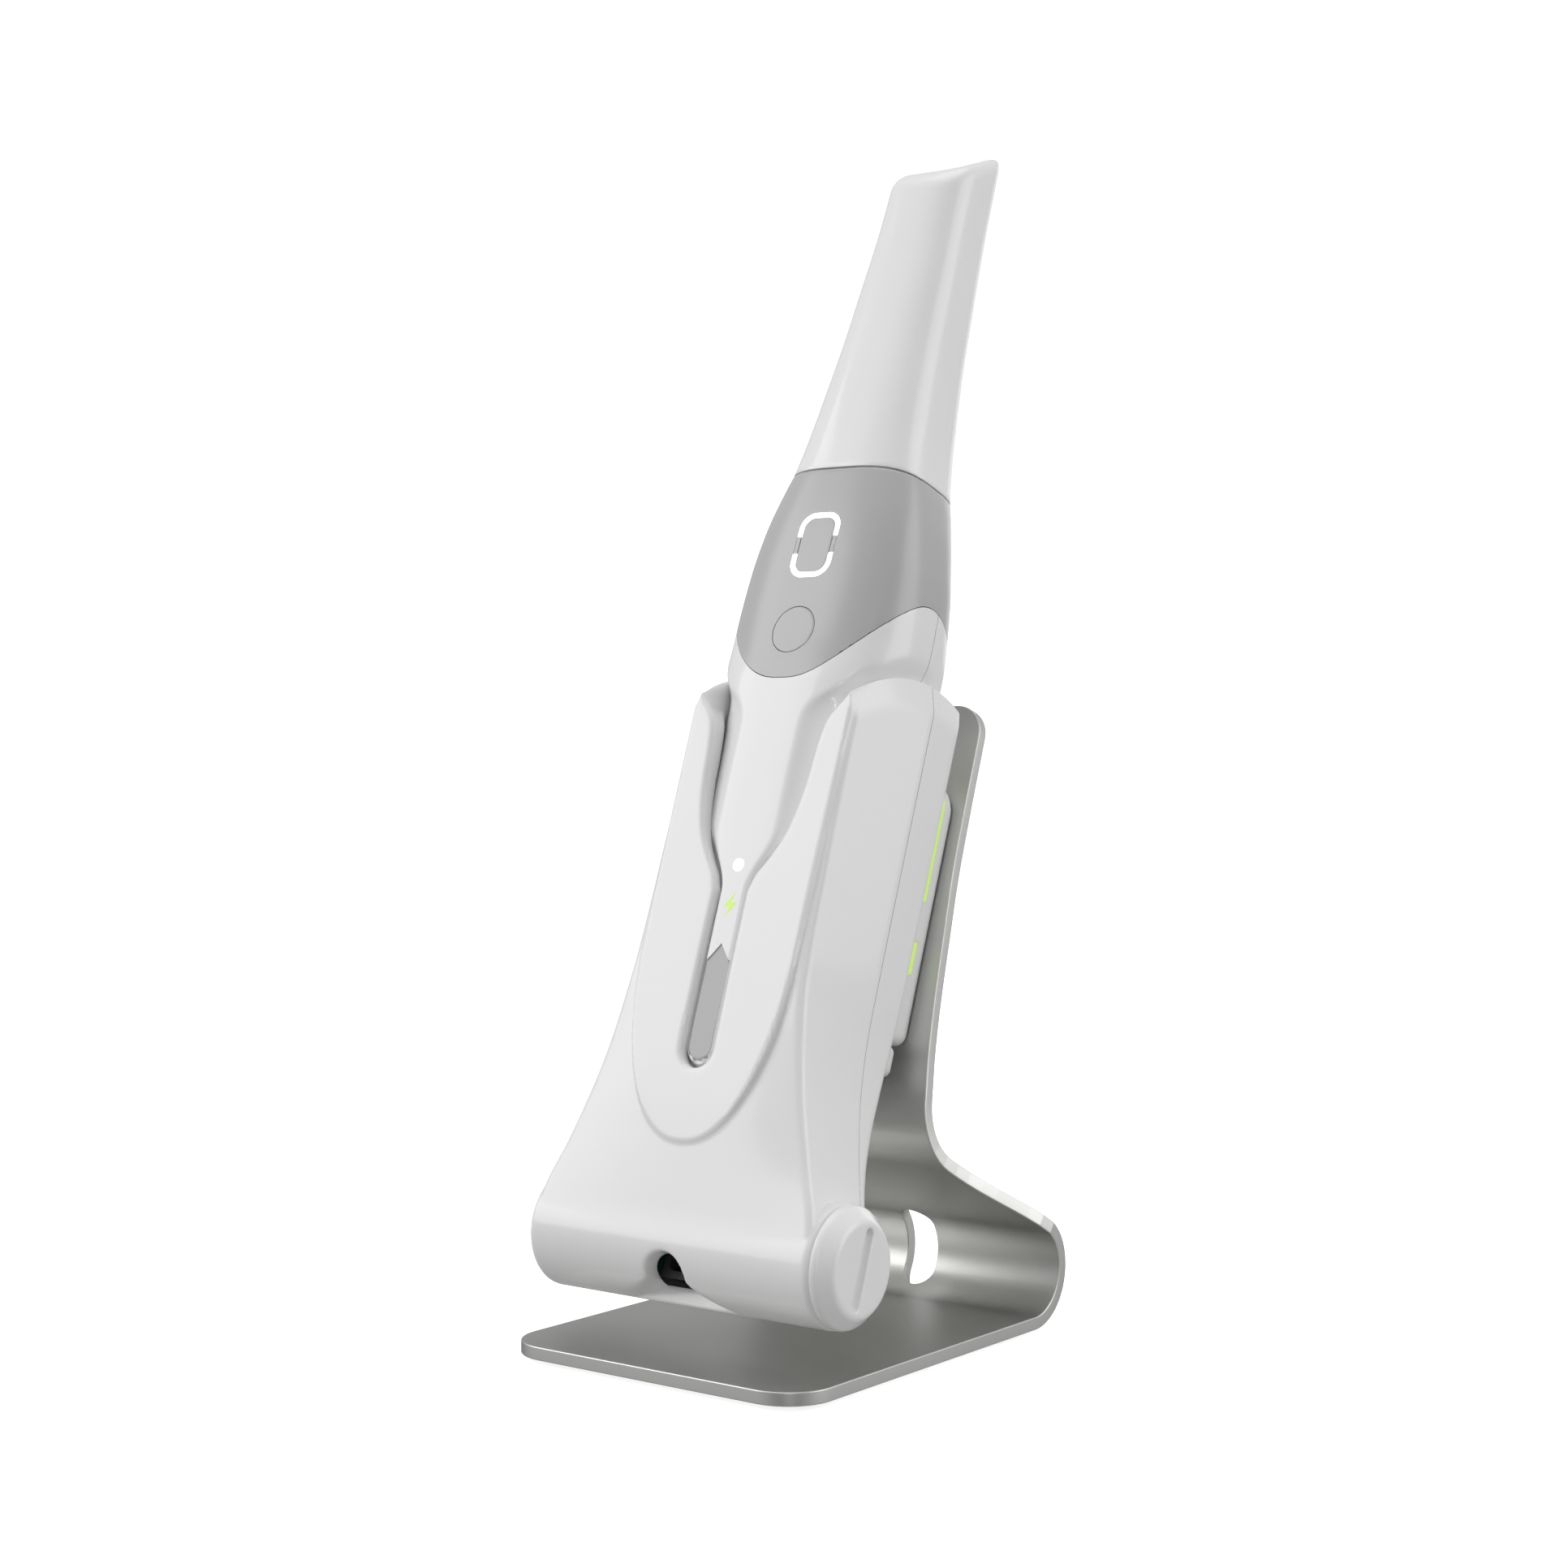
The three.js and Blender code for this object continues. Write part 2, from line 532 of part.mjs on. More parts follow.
const hull = {
  half: curve([
    [120, 23], [138, 23.7], [146, 23.7], [155, 23.2], [160, 22.6], [168, 21.2], [176, 19.1],
    [180, 17.9], [190, 16.2], [200, 15.1], [215, 13.7], [230, 12.8], [245, 11.9], [255, 11.5], [280, 11],
  ]),
  front: curve([
    [27, 14.6], [40, 15.4], [60, 15.7], [126, 16], [138, 15], [160, 13.9], [168, 13.3], [180, 12],
    [190, 11], [200, 10], [215, 8.5], [230, 7.2], [245, 6], [280, 4.6],
  ]),
  rear: curve([
    [120, -22.6], [138, -22.4], [146, -20.9], [155, -19.4], [162, -18.1], [170, -17.3], [180, -17.2],
    [200, -16.2], [230, -15.5], [280, -15.5],
  ]),
};
const hullAt = (along) => ({ half: hull.half(along), front: hull.front(along), rear: hull.rear(along) });

// The front spine that shows in the cradle's opening, and the line where the grip steps in.
const SPINE = 3.7;
const SPINE_START = 40.9; // centre of the round lower end of the spine
function spineHalf(along) {
  if (along < SPINE_START) return Math.sqrt(Math.max(SPINE ** 2 - (SPINE_START - along) ** 2, 0.04));
  return SPINE + 3.4 * smoothstep(along, 76, 87) + 20 * smoothstep(along, 112, 130) ** 1.6;
}
const stepLine = (depth) => 137.8 - (depth > -8 ? 12 * ((depth + 8) / 24) ** 2 : 4 * ((depth + 8) / 12) ** 2);

// A block across the whole width, above a line that depends on depth.
function aboveLine(line) {
  const profile = [...heights(-30, 26, 14).map((depth) => [depth, line(depth)]), [26, 190], [-30, 190]];
  return loft([-40, 40].map((x) => profile.map(([depth, along]) => at(x, depth, along)).reverse()));
}

// The collar's lower edge: low at the front and rear, high at the sides.
function collarEdge(angle) {
  const degrees = Math.abs(THREE.MathUtils.radToDeg(angle));
  if (degrees < 100) return 126.3 + 23.7 * Math.sin(THREE.MathUtils.degToRad(0.9 * degrees)) ** 3;
  return 133 + 17 * Math.cos(THREE.MathUtils.degToRad((degrees - 100) * 1.125)) ** 3;
}

// Everything below the collar's edge, moved up or down by a clearance.
function belowCollar(shift) {
  const ring = (radius, along) => heights(0, 360, 40).slice(0, -1).map((degrees) => {
    const angle = THREE.MathUtils.degToRad(degrees);
    const fromFront = Math.atan2(Math.cos(angle), -Math.sin(angle));
    const z = along ?? collarEdge(fromFront) + shift;
    return new THREE.Vector3(radius * Math.cos(angle), radius * Math.sin(angle), z);
  });
  return loft([ring(60, 0), ring(60), ring(6)]);
}

// The slim grip, with the fuller form of the head wherever the cradle leaves it room.
function bodyForm() {
  const gripStops = [27, 28, 30.5, 45, 60, 80, 110, 152];
  const slim = loft(gripStops.map((along) => {
    const rounding = along < 30 ? 2.2 * ((30 - along) / 3) ** 2 : 0;
    return roundedRing(along, inset(gripAt(along), rounding), 32);
  }));
  const hullStops = [37, 60, 100, 126, 132, 138, 144, 152];
  const full = loft(hullStops.map((along) => roundedRing(along, hullAt(along), 36)));
  const spineStops = [37.2, 37.8, 39, SPINE_START, 76, 78.5, 81, 84, 87, 110, 114, 117, 120, 123, 126, 130];
  const spine = slab(mirroredOutline(spineHalf, spineStops), 11.5, 20);
  const exposed = join(solid(aboveLine(stepLine)), spine);
  return solid(slim).add(solid(full).intersect(exposed));
}
const bodyRoom = loft([29.5, 45, 70, 100, 132, 136, 140, 146, 156].map((along) => {
  const wide = smoothstep(along, 133, 146);
  const low = gripAt(along);
  const high = hullAt(along);
  const mixed = {
    half: THREE.MathUtils.lerp(low.half, high.half, wide),
    front: THREE.MathUtils.lerp(low.front, high.front, wide),
    rear: THREE.MathUtils.lerp(low.rear, high.rear, wide),
  };
  return roundedRing(along, inset(mixed, SHELL), 24);
}));

const insertOutline = new THREE.Shape();
insertOutline.moveTo(-3.1, 59.8);
insertOutline.lineTo(-3.1, 41);
insertOutline.absarc(0, 41, 3.1, Math.PI, 2 * Math.PI);
insertOutline.lineTo(3.1, 59.8);
insertOutline.lineTo(0, 63.8);
insertOutline.closePath();
const insertPocket = new THREE.Shape(insertOutline.getPoints(3).map((p) =>
  new THREE.Vector2(p.x * 1.07, (p.y - 50) * 1.02 + 50)));

const boltOutline = new THREE.Shape([
  [0.9, 3], [-1.6, -0.5], [-0.1, -0.5], [-0.9, -3], [1.6, 0.5], [0.1, 0.5],
].map(([x, y]) => new THREE.Vector2(x, BOLT_AT + y)));

const statusHole = rod(0, STATUS_AT, STATUS_RADIUS + GAP, 8, 20, 16);
const padHoles = [-5, 0, 5].map((x) =>
  new THREE.CylinderGeometry(1.5, 1.5, 6, 12).rotateX(Math.PI / 2).translate(x, 0, 28));

const symbolPocket = roundedOutline(2.2, BOLT_AT - 3.4, BOLT_AT + 3.4, 0.6);
const bodyShell = cut(
  bodyForm(), bodyRoom, slab(insertPocket, 14.2, 20), slab(symbolPocket, 14.2, 20), statusHole, ...padHoles,
).intersect(solid(belowCollar(-GAP / 2)));
place(cradle, 'body_front_shell', cut(bodyShell, behind(SCANNER_SEAM + 0.15)), WHITE);
place(cradle, 'body_rear_shell', cut(bodyShell, inFrontOf(SCANNER_SEAM - 0.15)), WHITE);

place(cradle, 'name_insert', slab(insertOutline, 14.4, 15.5), PALE_GREY);
place(cradle, 'status_lens', rod(0, STATUS_AT, STATUS_RADIUS, 12, 15.9, 20), WHITE_LIGHT);
place(cradle, 'charge_symbol_lens', slab(boltOutline, 14.5, 15.7), GREEN_LIGHT);

// ---------------------------------------------------------------- collar

const collarForm = loft([120, 132, 140, 148, 155, 162, 168, 174, 179, COLLAR_TOP].map((along) =>
  roundedRing(along, inset(hullAt(along), along > 179.3 ? 0.3 : 0), 36)));
const collarRoom = loft([110, 130, 145, 155, 165, 172, 177].map((along) =>
  roundedRing(along, inset(hullAt(along), SHELL), 20)));
const noseSection = { half: 11.4, front: 7.6, rear: -12.8 };
const noseForm = (low, high, grow) =>
  loft([low, high].map((along) => roundedRing(along, inset(noseSection, -grow), 24)));

// A frame that lies on the collar's front at one place, with its -Y axis along the surface normal.
function onCollar(along) {
  const slope = (hull.front(along + 2) - hull.front(along - 2)) / 4;
  const spot = new THREE.Group();
  spot.position.copy(at(0, hull.front(along), along));
  spot.rotation.x = Math.atan(slope);
  cradle.add(spot);
  return spot;
}
const scanSpot = onCollar(SCAN_BUTTON_AT);
const powerSpot = onCollar(POWER_BUTTON_AT);
const onto = (spot, geometry) => {
  spot.updateMatrix();
  return geometry.applyMatrix4(spot.matrix);
};

const ringOutline = (grow) => roundedOutline(
  RING_WIDTH / 2 + grow, -RING_LENGTH / 2 - grow, RING_LENGTH / 2 + grow, RING_CORNER + grow,
);
const buttonOutline = (grow) => roundedOutline(
  RING_WIDTH / 2 - RING_STROKE + grow, RING_STROKE - RING_LENGTH / 2 - grow,
  RING_LENGTH / 2 - RING_STROKE + grow, RING_CORNER - RING_STROKE + grow,
);
// The part of a shape above and below the break between the two light arcs.
const upperHalf = (gap) => solid(block([-20, -10, gap], [20, 10, 20]));
const lowerHalf = (gap) => solid(block([-20, -10, -20], [20, 10, -gap]));

const collarShell = cut(
  solid(collarForm).subtract(solid(belowCollar(GAP / 2))), collarRoom, noseForm(170, 185, GAP),
  onto(scanSpot, slab(buttonOutline(0.05), -5, 5)),
  onto(powerSpot, rod(0, 0, POWER_BUTTON_RADIUS + GAP, -6, 5, 32)),
);
const ringPocket = solid(slab(ringOutline(0.15), -5, 5));
const arcPockets = [upperHalf, lowerHalf].map((part) =>
  ringPocket.intersect(part(RING_BREAK / 2 - 0.15)).transform(scanSpot.matrix.elements));
place(cradle, 'collar', collarShell.subtract(arcPockets[0]).subtract(arcPockets[1]), GREY);

// Two arcs of light round the scan button.
const ringBand = cut(solid(slab(ringOutline(0), -2, 0.05)), slab(buttonOutline(0), -5, 5));
place(scanSpot, 'ring_light_upper', ringBand.intersect(upperHalf(RING_BREAK / 2)), WHITE_LIGHT);
place(scanSpot, 'ring_light_lower', ringBand.intersect(lowerHalf(RING_BREAK / 2)), WHITE_LIGHT);
place(scanSpot, 'scan_button', slab(buttonOutline(-0.25), -2.4, 0.1), GREY);
place(powerSpot, 'power_button', rod(0, 0, POWER_BUTTON_RADIUS, -2.8, 0.1, 32), GREY);

// ---------------------------------------------------------------- scanner inside

place(cradle, 'battery_pack', slab(roundedOutline(10.5, 35, 90, 3), -8, 6.5), CELL);
place(cradle, 'main_board', block([-9.5, 7.4, 45], [9.5, 8.8, 134]), BOARD);
place(cradle, 'button_switches', block([-5, 9.2, 133.8], [5, 11.4, 141]), DARK);
place(cradle, 'scan_switch', block([-3, 8.2, 155.6], [3, 9.4, 163.6]), DARK);
place(cradle, 'camera_module', slab(roundedOutline(11.5, 100, 164, 3), -13, 5), DARK);
place(cradle, 'radio_antenna', block([-7, -15, 104], [7, -14.2, 120]), GOLD);
[-5, 0, 5].forEach((x, i) => {
  const pad = new THREE.CylinderGeometry(1.2, 1.2, 2.2, 12).rotateX(Math.PI / 2);
  place(cradle, `charge_pad_${i + 1}`, pad, GOLD).position.copy(at(x, 0, 28.3));
});
place(cradle, 'nose_barrel', cut(solid(noseForm(166, 203, 0)), noseForm(164, 210, -1.6)), DARK);
const lensRing = (name, depth, radius) => {
  const lens = new THREE.CylinderGeometry(radius, radius, 2.5, 24).rotateX(Math.PI / 2);
  place(cradle, name, lens, LENS).position.copy(at(0, depth, 199));
};
lensRing('objective_lens', -7, 3.8);
lensRing('projector_lens', 1.4, 3.8);

// ---------------------------------------------------------------- tip

// The slanted end, as a block that covers everything beyond it.
function beyondTip(shift) {
  const slant = Math.atan2(TIP_REAR - TIP_FRONT, 20.5);
  return new THREE.BoxGeometry(80, 120, 60)
    .translate(0, 0, 30 + shift)
    .rotateX(slant)
    .translate(0, -5, TIP_FRONT);
}
const tipStops = [187, 196, 208, 226, 250, 280];
const tipForm = loft([TIP_START, TIP_START + 0.6, ...tipStops].map((along) =>
  roundedRing(along, inset(hullAt(along), along < 180.2 ? 0.4 : 0), 32)));
const tipRoom = loft([TIP_START - 1, ...tipStops].map((along) =>
  roundedRing(along, inset(hullAt(along), TIP_WALL), 20)));
const tipHollow = cut(solid(tipRoom), beyondTip(-2));
const tipWindow = slab(roundedOutline(7.5, 249, 266, 2), -20, -10);
const tipSleeve = cut(cut(solid(tipForm), beyondTip(0)).subtract(tipHollow), tipWindow);
place(cradle, 'tip_sleeve', tipSleeve, WHITE);

const mirror = place(cradle, 'tip_mirror', new THREE.BoxGeometry(14, 16, 1), MIRROR);
mirror.position.copy(at(0, -5.2, 256.8));
mirror.rotation.x = Math.PI / 4;

// ---------------------------------------------------------------- origin

const box = new THREE.Box3().setFromObject(object, true);
const middle = box.getCenter(new THREE.Vector3());
object.position.set(-middle.x, -middle.y, -box.min.z);

const group = new THREE.Group();
group.add(object);

export default group;
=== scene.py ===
"""Wireless intraoral scanner in its charging cradle on a bent-plate stand: the looks."""

import json
import math

import bmesh
import bpy
import numpy as np
from mathutils import Matrix, Vector


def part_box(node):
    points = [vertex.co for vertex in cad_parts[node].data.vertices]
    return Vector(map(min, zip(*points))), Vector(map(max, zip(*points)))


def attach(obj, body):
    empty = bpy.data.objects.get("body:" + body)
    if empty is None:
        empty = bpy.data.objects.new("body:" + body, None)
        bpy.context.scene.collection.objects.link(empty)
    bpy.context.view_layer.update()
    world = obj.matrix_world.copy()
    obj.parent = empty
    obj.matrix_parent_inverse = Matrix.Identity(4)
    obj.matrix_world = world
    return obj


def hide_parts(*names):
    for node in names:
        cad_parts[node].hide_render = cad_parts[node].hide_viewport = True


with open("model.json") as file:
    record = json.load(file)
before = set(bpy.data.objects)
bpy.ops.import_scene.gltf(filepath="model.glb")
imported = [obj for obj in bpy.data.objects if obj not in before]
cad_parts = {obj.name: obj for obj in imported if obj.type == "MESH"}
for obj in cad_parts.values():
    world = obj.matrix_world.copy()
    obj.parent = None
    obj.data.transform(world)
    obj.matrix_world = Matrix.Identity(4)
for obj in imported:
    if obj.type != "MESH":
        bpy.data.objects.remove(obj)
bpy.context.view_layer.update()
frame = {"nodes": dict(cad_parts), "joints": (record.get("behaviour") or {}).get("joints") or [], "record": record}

MM = 0.001
JOINTS = {joint["name"]: joint for joint in frame["joints"]}

# ------------------------------------------------------------------ the cradle's own frame
# Shapes of the cradle and scanner are worked out in millimetres as (x, n, u): x across,
# n towards the front, at right angles to the cradle's axis, and u up along that axis.

PLATE_LOW, PLATE_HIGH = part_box("stand_plate")
MIDDLE_X = (PLATE_LOW.x + PLATE_HIGH.x) / 2
UP = Vector(JOINTS["scanner_lift"]["axis"]).normalized()
OUT = Vector((1, 0, 0)).cross(UP)
PIVOT = Vector(JOINTS["coin_cap_turn"]["pos_m"])
PIVOT.x = MIDDLE_X
CRADLE = Matrix.Translation(PIVOT) @ Matrix.Scale(MM, 4) @ Matrix(
    ((1, OUT.x, UP.x, 0), (0, OUT.y, UP.y, 0), (0, OUT.z, UP.z, 0), (0, 0, 0, 1))
)


# ------------------------------------------------------------------ shape functions


def curve(*pairs):
    """A smooth function through (position, value) pairs."""
    at = np.array([p[0] for p in pairs], float)
    value = np.array([p[1] for p in pairs], float)
    slope = np.gradient(value, at)
    slope[1:-1] = (value[2:] - value[:-2]) / (at[2:] - at[:-2])

    def read(t):
        t = np.clip(t, at[0], at[-1])
        i = np.clip(np.searchsorted(at, t, side="right") - 1, 0, len(at) - 2)
        span = at[i + 1] - at[i]
        s = (t - at[i]) / span
        a = 2 * s**3 - 3 * s**2 + 1
        b = s**3 - 2 * s**2 + s
        c = s**3 - s**2
        return a * value[i] + b * span * slope[i] + (1 - a) * value[i + 1] + c * span * slope[i + 1]

    return read


def ramp(t, low, high):
    """A smooth step from 0 at low to 1 at high."""
    s = np.clip((t - low) / (high - low), 0, 1)
    return s * s * (3 - 2 * s)


SHARP = 1e-6


def both(a, b, blend=SHARP):
    """The part inside a and b, with its edge rounded over a width of blend."""
    h = np.maximum(blend - np.abs(a - b), 0) / blend
    return np.maximum(a, b) + h * h * blend / 4


def either(a, b, blend=SHARP):
    """The part inside a or b, with the corner between them filled over a width of blend."""
    return -both(-a, -b, blend)


def without(a, b, blend=SHARP):
    """The part inside a and outside b."""
    return both(a, -b, blend)


def beside(half, x, u, span=0.5):
    """Distance outwards from an edge at a half width that changes with height."""
    slope = (half(u + span / 2) - half(u - span / 2)) / span
    return (np.abs(x) - half(u)) / np.sqrt(1 + slope**2)


def rounded_box(x, n, half, front, rear, power=3.2):
    """Distance outwards from a rounded-box section."""
    middle, thick = (front + rear) / 2, (front - rear) / 2
    reach = np.hypot(x, n - middle)
    q = (np.abs(x / half) ** power + np.abs((n - middle) / thick) ** power) ** (1 / power)
    return reach * (1 - 1 / np.maximum(q, 1e-4))


def oblong(a, b, half_a, half_b, corner):
    """Distance outwards from a rounded rectangle."""
    da, db = np.abs(a) - half_a + corner, np.abs(b) - half_b + corner
    return np.hypot(np.maximum(da, 0), np.maximum(db, 0)) + np.minimum(np.maximum(da, db), 0) - corner


def polygon(a, b, corners):
    """Distance outwards from an outline with straight sides."""
    nearest, crossings = np.full(np.shape(a), 1e9), np.zeros(np.shape(a), int)
    for (a0, b0), (a1, b1) in zip(corners, corners[1:] + corners[:1]):
        da, db = a1 - a0, b1 - b0
        t = np.clip(((a - a0) * da + (b - b0) * db) / (da * da + db * db), 0, 1)
        nearest = np.minimum(nearest, np.hypot(a - a0 - t * da, b - b0 - t * db))
        if db:
            crossings += ((b0 > b) != (b1 > b)) & (a < a0 + (b - b0) * da / db)
    return np.where(crossings % 2 == 1, -nearest, nearest)


# ------------------------------------------------------------------ surfaces from fields


HALVINGS = 10  # steps that find where a grid edge crosses the surface
PULL_TO_MIDDLE = 0.05  # keeps a vertex near its cell's middle where the surface is flat
SETTLE = 0.12  # furthest that a vertex moves in one settling step, in grid steps


def surface(field, low, high, step):
    """Vertices and quads of the surface where field is 0, with its sharp edges kept."""
    axes = [np.arange(a - step, b + 2 * step, step) for a, b in zip(low, high)]
    shape = np.array([len(axis) for axis in axes])
    inside = field(*np.meshgrid(*axes, indexing="ij")) < 0
    origin = np.array([axis[0] for axis in axes])
    cells = shape - 1
    points, normals, owners, quads = [], [], [], []
    for k in range(3):
        a, b = (k + 1) % 3, (k + 2) % 3
        first = np.take(inside, range(shape[k] - 1), k)
        second = np.take(inside, range(1, shape[k]), k)
        index = np.argwhere(first != second)
        index = index[(index[:, a] > 0) & (index[:, b] > 0)]
        index = index[(index[:, a] < cells[a]) & (index[:, b] < cells[b])]
        leaving = first[tuple(index.T)]
        start = origin + index * step
        near, far = np.zeros(len(index)), np.ones(len(index))
        for _ in range(HALVINGS):
            middle = (near + far) / 2
            probe = start.copy()
            probe[:, k] += middle * step
            same = (field(*probe.T) < 0) == leaving
            near, far = np.where(same, middle, near), np.where(same, far, middle)
        probe = start.copy()
        probe[:, k] += (near + far) / 2 * step
        ring = []
        for da, db in ((-1, -1), (0, -1), (0, 0), (-1, 0)):
            cell = index.copy()
            cell[:, a] += da
            cell[:, b] += db
            ring.append(np.ravel_multi_index(tuple(cell.T), tuple(cells)))
        ring = np.array(ring).T
        points.append(probe)
        normals.append(gradient(field, probe))
        owners.append(ring)
        quads.append(np.where(leaving[:, None], ring, ring[:, ::-1]))
    point, normal = np.concatenate(points), np.concatenate(normals)
    owner, quad = np.concatenate(owners), np.concatenate(quads)
    used, slot = np.unique(owner, return_inverse=True)
    slot = slot.reshape(owner.shape)
    count = len(used)

    def gather(values):
        return sum(np.bincount(slot[:, c], values, count) for c in range(4))

    weight = gather(np.ones(len(point)))
    centre = np.stack([gather(point[:, i]) for i in range(3)], 1) / weight[:, None]
    along = (normal * point).sum(1)
    matrix = np.zeros((count, 3, 3))
    for i in range(3):
        for j in range(i, 3):
            matrix[:, i, j] = matrix[:, j, i] = gather(normal[:, i] * normal[:, j])
    right = np.stack([gather(normal[:, i] * along) for i in range(3)], 1)
    right -= np.einsum("nij,nj->ni", matrix, centre)
    matrix += np.eye(3) * PULL_TO_MIDDLE
    vertex = centre + np.linalg.solve(matrix, right[..., None])[..., 0]
    corner = origin + np.array(np.unravel_index(used, tuple(cells))).T * step
    vertex = np.clip(vertex, corner, corner + step)
    for _ in range(2):
        g = gradient(field, vertex, unit=False)
        move = field(*vertex.T)[:, None] * g / np.maximum((g * g).sum(1), 0.25)[:, None]
        vertex = vertex - np.clip(move, -SETTLE * step, SETTLE * step)
    return vertex, np.searchsorted(used, quad)


def gradient(field, point, unit=True, reach=0.01):
    """Slope of a field at each point, scaled to length 1 unless unit is off."""
    columns = []
    for k in range(3):
        shift = np.zeros(3)
        shift[k] = reach
        columns.append((field(*(point + shift).T) - field(*(point - shift).T)) / (2 * reach))
    g = np.stack(columns, 1)
    return g / np.maximum(np.linalg.norm(g, axis=1), 1e-9)[:, None] if unit else g


def make(name, vertex, faces, matrix, material, body, crease=32.0):
    """A piece of the object from vertices in a local frame, riding on a CAD body."""
    mesh = bpy.data.meshes.new(name)
    mirrored = matrix.to_3x3().determinant() < 0
    faces = [list(face)[::-1] if mirrored else list(face) for face in faces]
    mesh.from_pydata([tuple(v) for v in vertex], [], faces)
    mesh.transform(matrix)
    mesh.shade_smooth()
    mesh.set_sharp_from_angle(angle=math.radians(crease))
    piece = bpy.data.objects.new(name, mesh)
    bpy.context.scene.collection.objects.link(piece)
    mesh.materials.append(MATERIALS[material])
    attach(piece, body)
    return piece


def form(name, field, low, high, step, material, body, replaces=()):
    """A piece whose surface is where a field of (x, n, u) is 0."""
    vertex, faces = surface(field, low, high, step)
    piece = make(name, vertex, faces, CRADLE, material, body)
    if replaces:
        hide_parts(*replaces)
    return piece


# ------------------------------------------------------------------ materials

MATERIALS = {}


def material(name, color, roughness, metallic=0.0, **extra):
    """A moulded or machined finish: a fine bump, and slight changes of tone and gloss."""
    mat = bpy.data.materials.new(name)
    mat.use_nodes = True
    tree = mat.node_tree
    shader = tree.nodes["Principled BSDF"]
    shader.inputs["Metallic"].default_value = metallic
    where = tree.nodes.new("ShaderNodeTexCoord")
    cloud = tree.nodes.new("ShaderNodeTexNoise")
    cloud.inputs["Scale"].default_value = extra.get("cloud", 28.0)
    cloud.inputs["Detail"].default_value = 3.0
    tree.links.new(where.outputs["Object"], cloud.inputs["Vector"])
    tone = tree.nodes.new("ShaderNodeMix")
    tone.data_type = "RGBA"
    spread = extra.get("spread", 0.025)
    tone.inputs["A"].default_value = (*[c * (1 - spread) for c in color], 1)
    tone.inputs["B"].default_value = (*[min(c * (1 + spread), 1) for c in color], 1)
    tree.links.new(cloud.outputs["Fac"], tone.inputs["Factor"])
    tree.links.new(tone.outputs["Result"], shader.inputs["Base Color"])
    gloss = tree.nodes.new("ShaderNodeMapRange")
    gloss.inputs["To Min"].default_value = roughness * 0.92
    gloss.inputs["To Max"].default_value = roughness * 1.08
    tree.links.new(cloud.outputs["Fac"], gloss.inputs["Value"])
    tree.links.new(gloss.outputs["Result"], shader.inputs["Roughness"])
    grain = tree.nodes.new("ShaderNodeTexNoise")
    grain.inputs["Scale"].default_value = extra.get("grain", 1800.0)
    grain.inputs["Detail"].default_value = 2.0
    tree.links.new(where.outputs["Object"], grain.inputs["Vector"])
    bump = tree.nodes.new("ShaderNodeBump")
    bump.inputs["Strength"].default_value = extra.get("bump", 0.04)
    bump.inputs["Distance"].default_value = 0.04 * MM
    tree.links.new(grain.outputs["Fac"], bump.inputs["Height"])
    tree.links.new(bump.outputs["Normal"], shader.inputs["Normal"])
    for key in ("Coat Weight", "Coat Roughness", "Specular IOR Level", "Emission Strength"):
        if key in extra:
            shader.inputs[key].default_value = extra[key]
    if "edge" in extra:
        shader.inputs["Specular Tint"].default_value = (*[extra["edge"]] * 3, 1)
    if "glow" in extra:
        shader.inputs["Emission Color"].default_value = (*extra["glow"], 1)
    MATERIALS[name] = mat


def build_materials():
    """The finishes, under the names of the record's material slots."""
    material("white_plastic", (0.86, 0.86, 0.858), 0.32, **{
        "Coat Weight": 0.5, "Coat Roughness": 0.08, "Specular IOR Level": 0.4,
    })
    material("pearl_plastic", (0.78, 0.79, 0.78), 0.38)
    material("grey_plastic", (0.47, 0.47, 0.47), 0.3, **{"Coat Weight": 0.3, "Coat Roughness": 0.2})
    material("pale_grey_plastic", (0.50, 0.50, 0.50), 0.45)
    material("dark_plastic", (0.05, 0.05, 0.053), 0.5, spread=0.15)
    material("rubber", (0.04, 0.04, 0.04), 0.8, spread=0.2, bump=0.3)
    material("circuit_board", (0.02, 0.12, 0.06), 0.45, spread=0.2, cloud=220.0)
    material("blasted_aluminium", (0.66, 0.66, 0.645), 0.42, 1.0, grain=2600.0, bump=0.12, edge=0.3)
    material("steel", (0.55, 0.55, 0.56), 0.28, 1.0)
    material("gold_contact", (0.80, 0.55, 0.22), 0.25, 1.0)
    material("green_light", (0.25, 0.40, 0.06), 0.4, glow=(0.42, 0.60, 0.11), **{"Emission Strength": 0.9})
    material("white_light", (0.95, 0.95, 0.95), 0.3, glow=(1.0, 1.0, 1.0), **{"Emission Strength": 2.5})
    material("lens_glass", (0.02, 0.03, 0.05), 0.04, **{"Coat Weight": 1.0, "Coat Roughness": 0.02})
    material("mirror", (0.85, 0.87, 0.88), 0.03, 1.0)
    material("battery_wrap", (0.06, 0.10, 0.20), 0.4)


build_materials()

# ------------------------------------------------------------------ cradle


FOOT_RADIUS = 13.4
FOOT_HALF = 38.8
BORE = 9.6
BORE_END = -33
SEAM = -9.0
SLOT_HALF = 4.3
SLOT_START = 40.3
SLOT_END = 60  # from here up the opening follows opening_half
OPENING_DEPTH = 6
HAIRLINE = 0.11  # half the width of a parting line
COLLAR_GAP = 0.08  # half the gap at the collar's lower edge
PANEL_HALF = 21.6
PANEL_ROUND = 64  # height where the raised panel's half ellipse meets its straight sides
PANEL_DROP = 44.5  # height of that half ellipse
CREST_TOP = 133
CREST_CURVE = 0.0158
CREST_BEVEL = 2.0  # width of the sloped band along the arms' top edge
BEVEL_STEEP = 3.2
POCKET_FLOOR = 26
POCKET_ROOM = 0.5
GRIP_START = 27
NOTCH_HALF = 5.3
NOTCH_CENTRE = -9
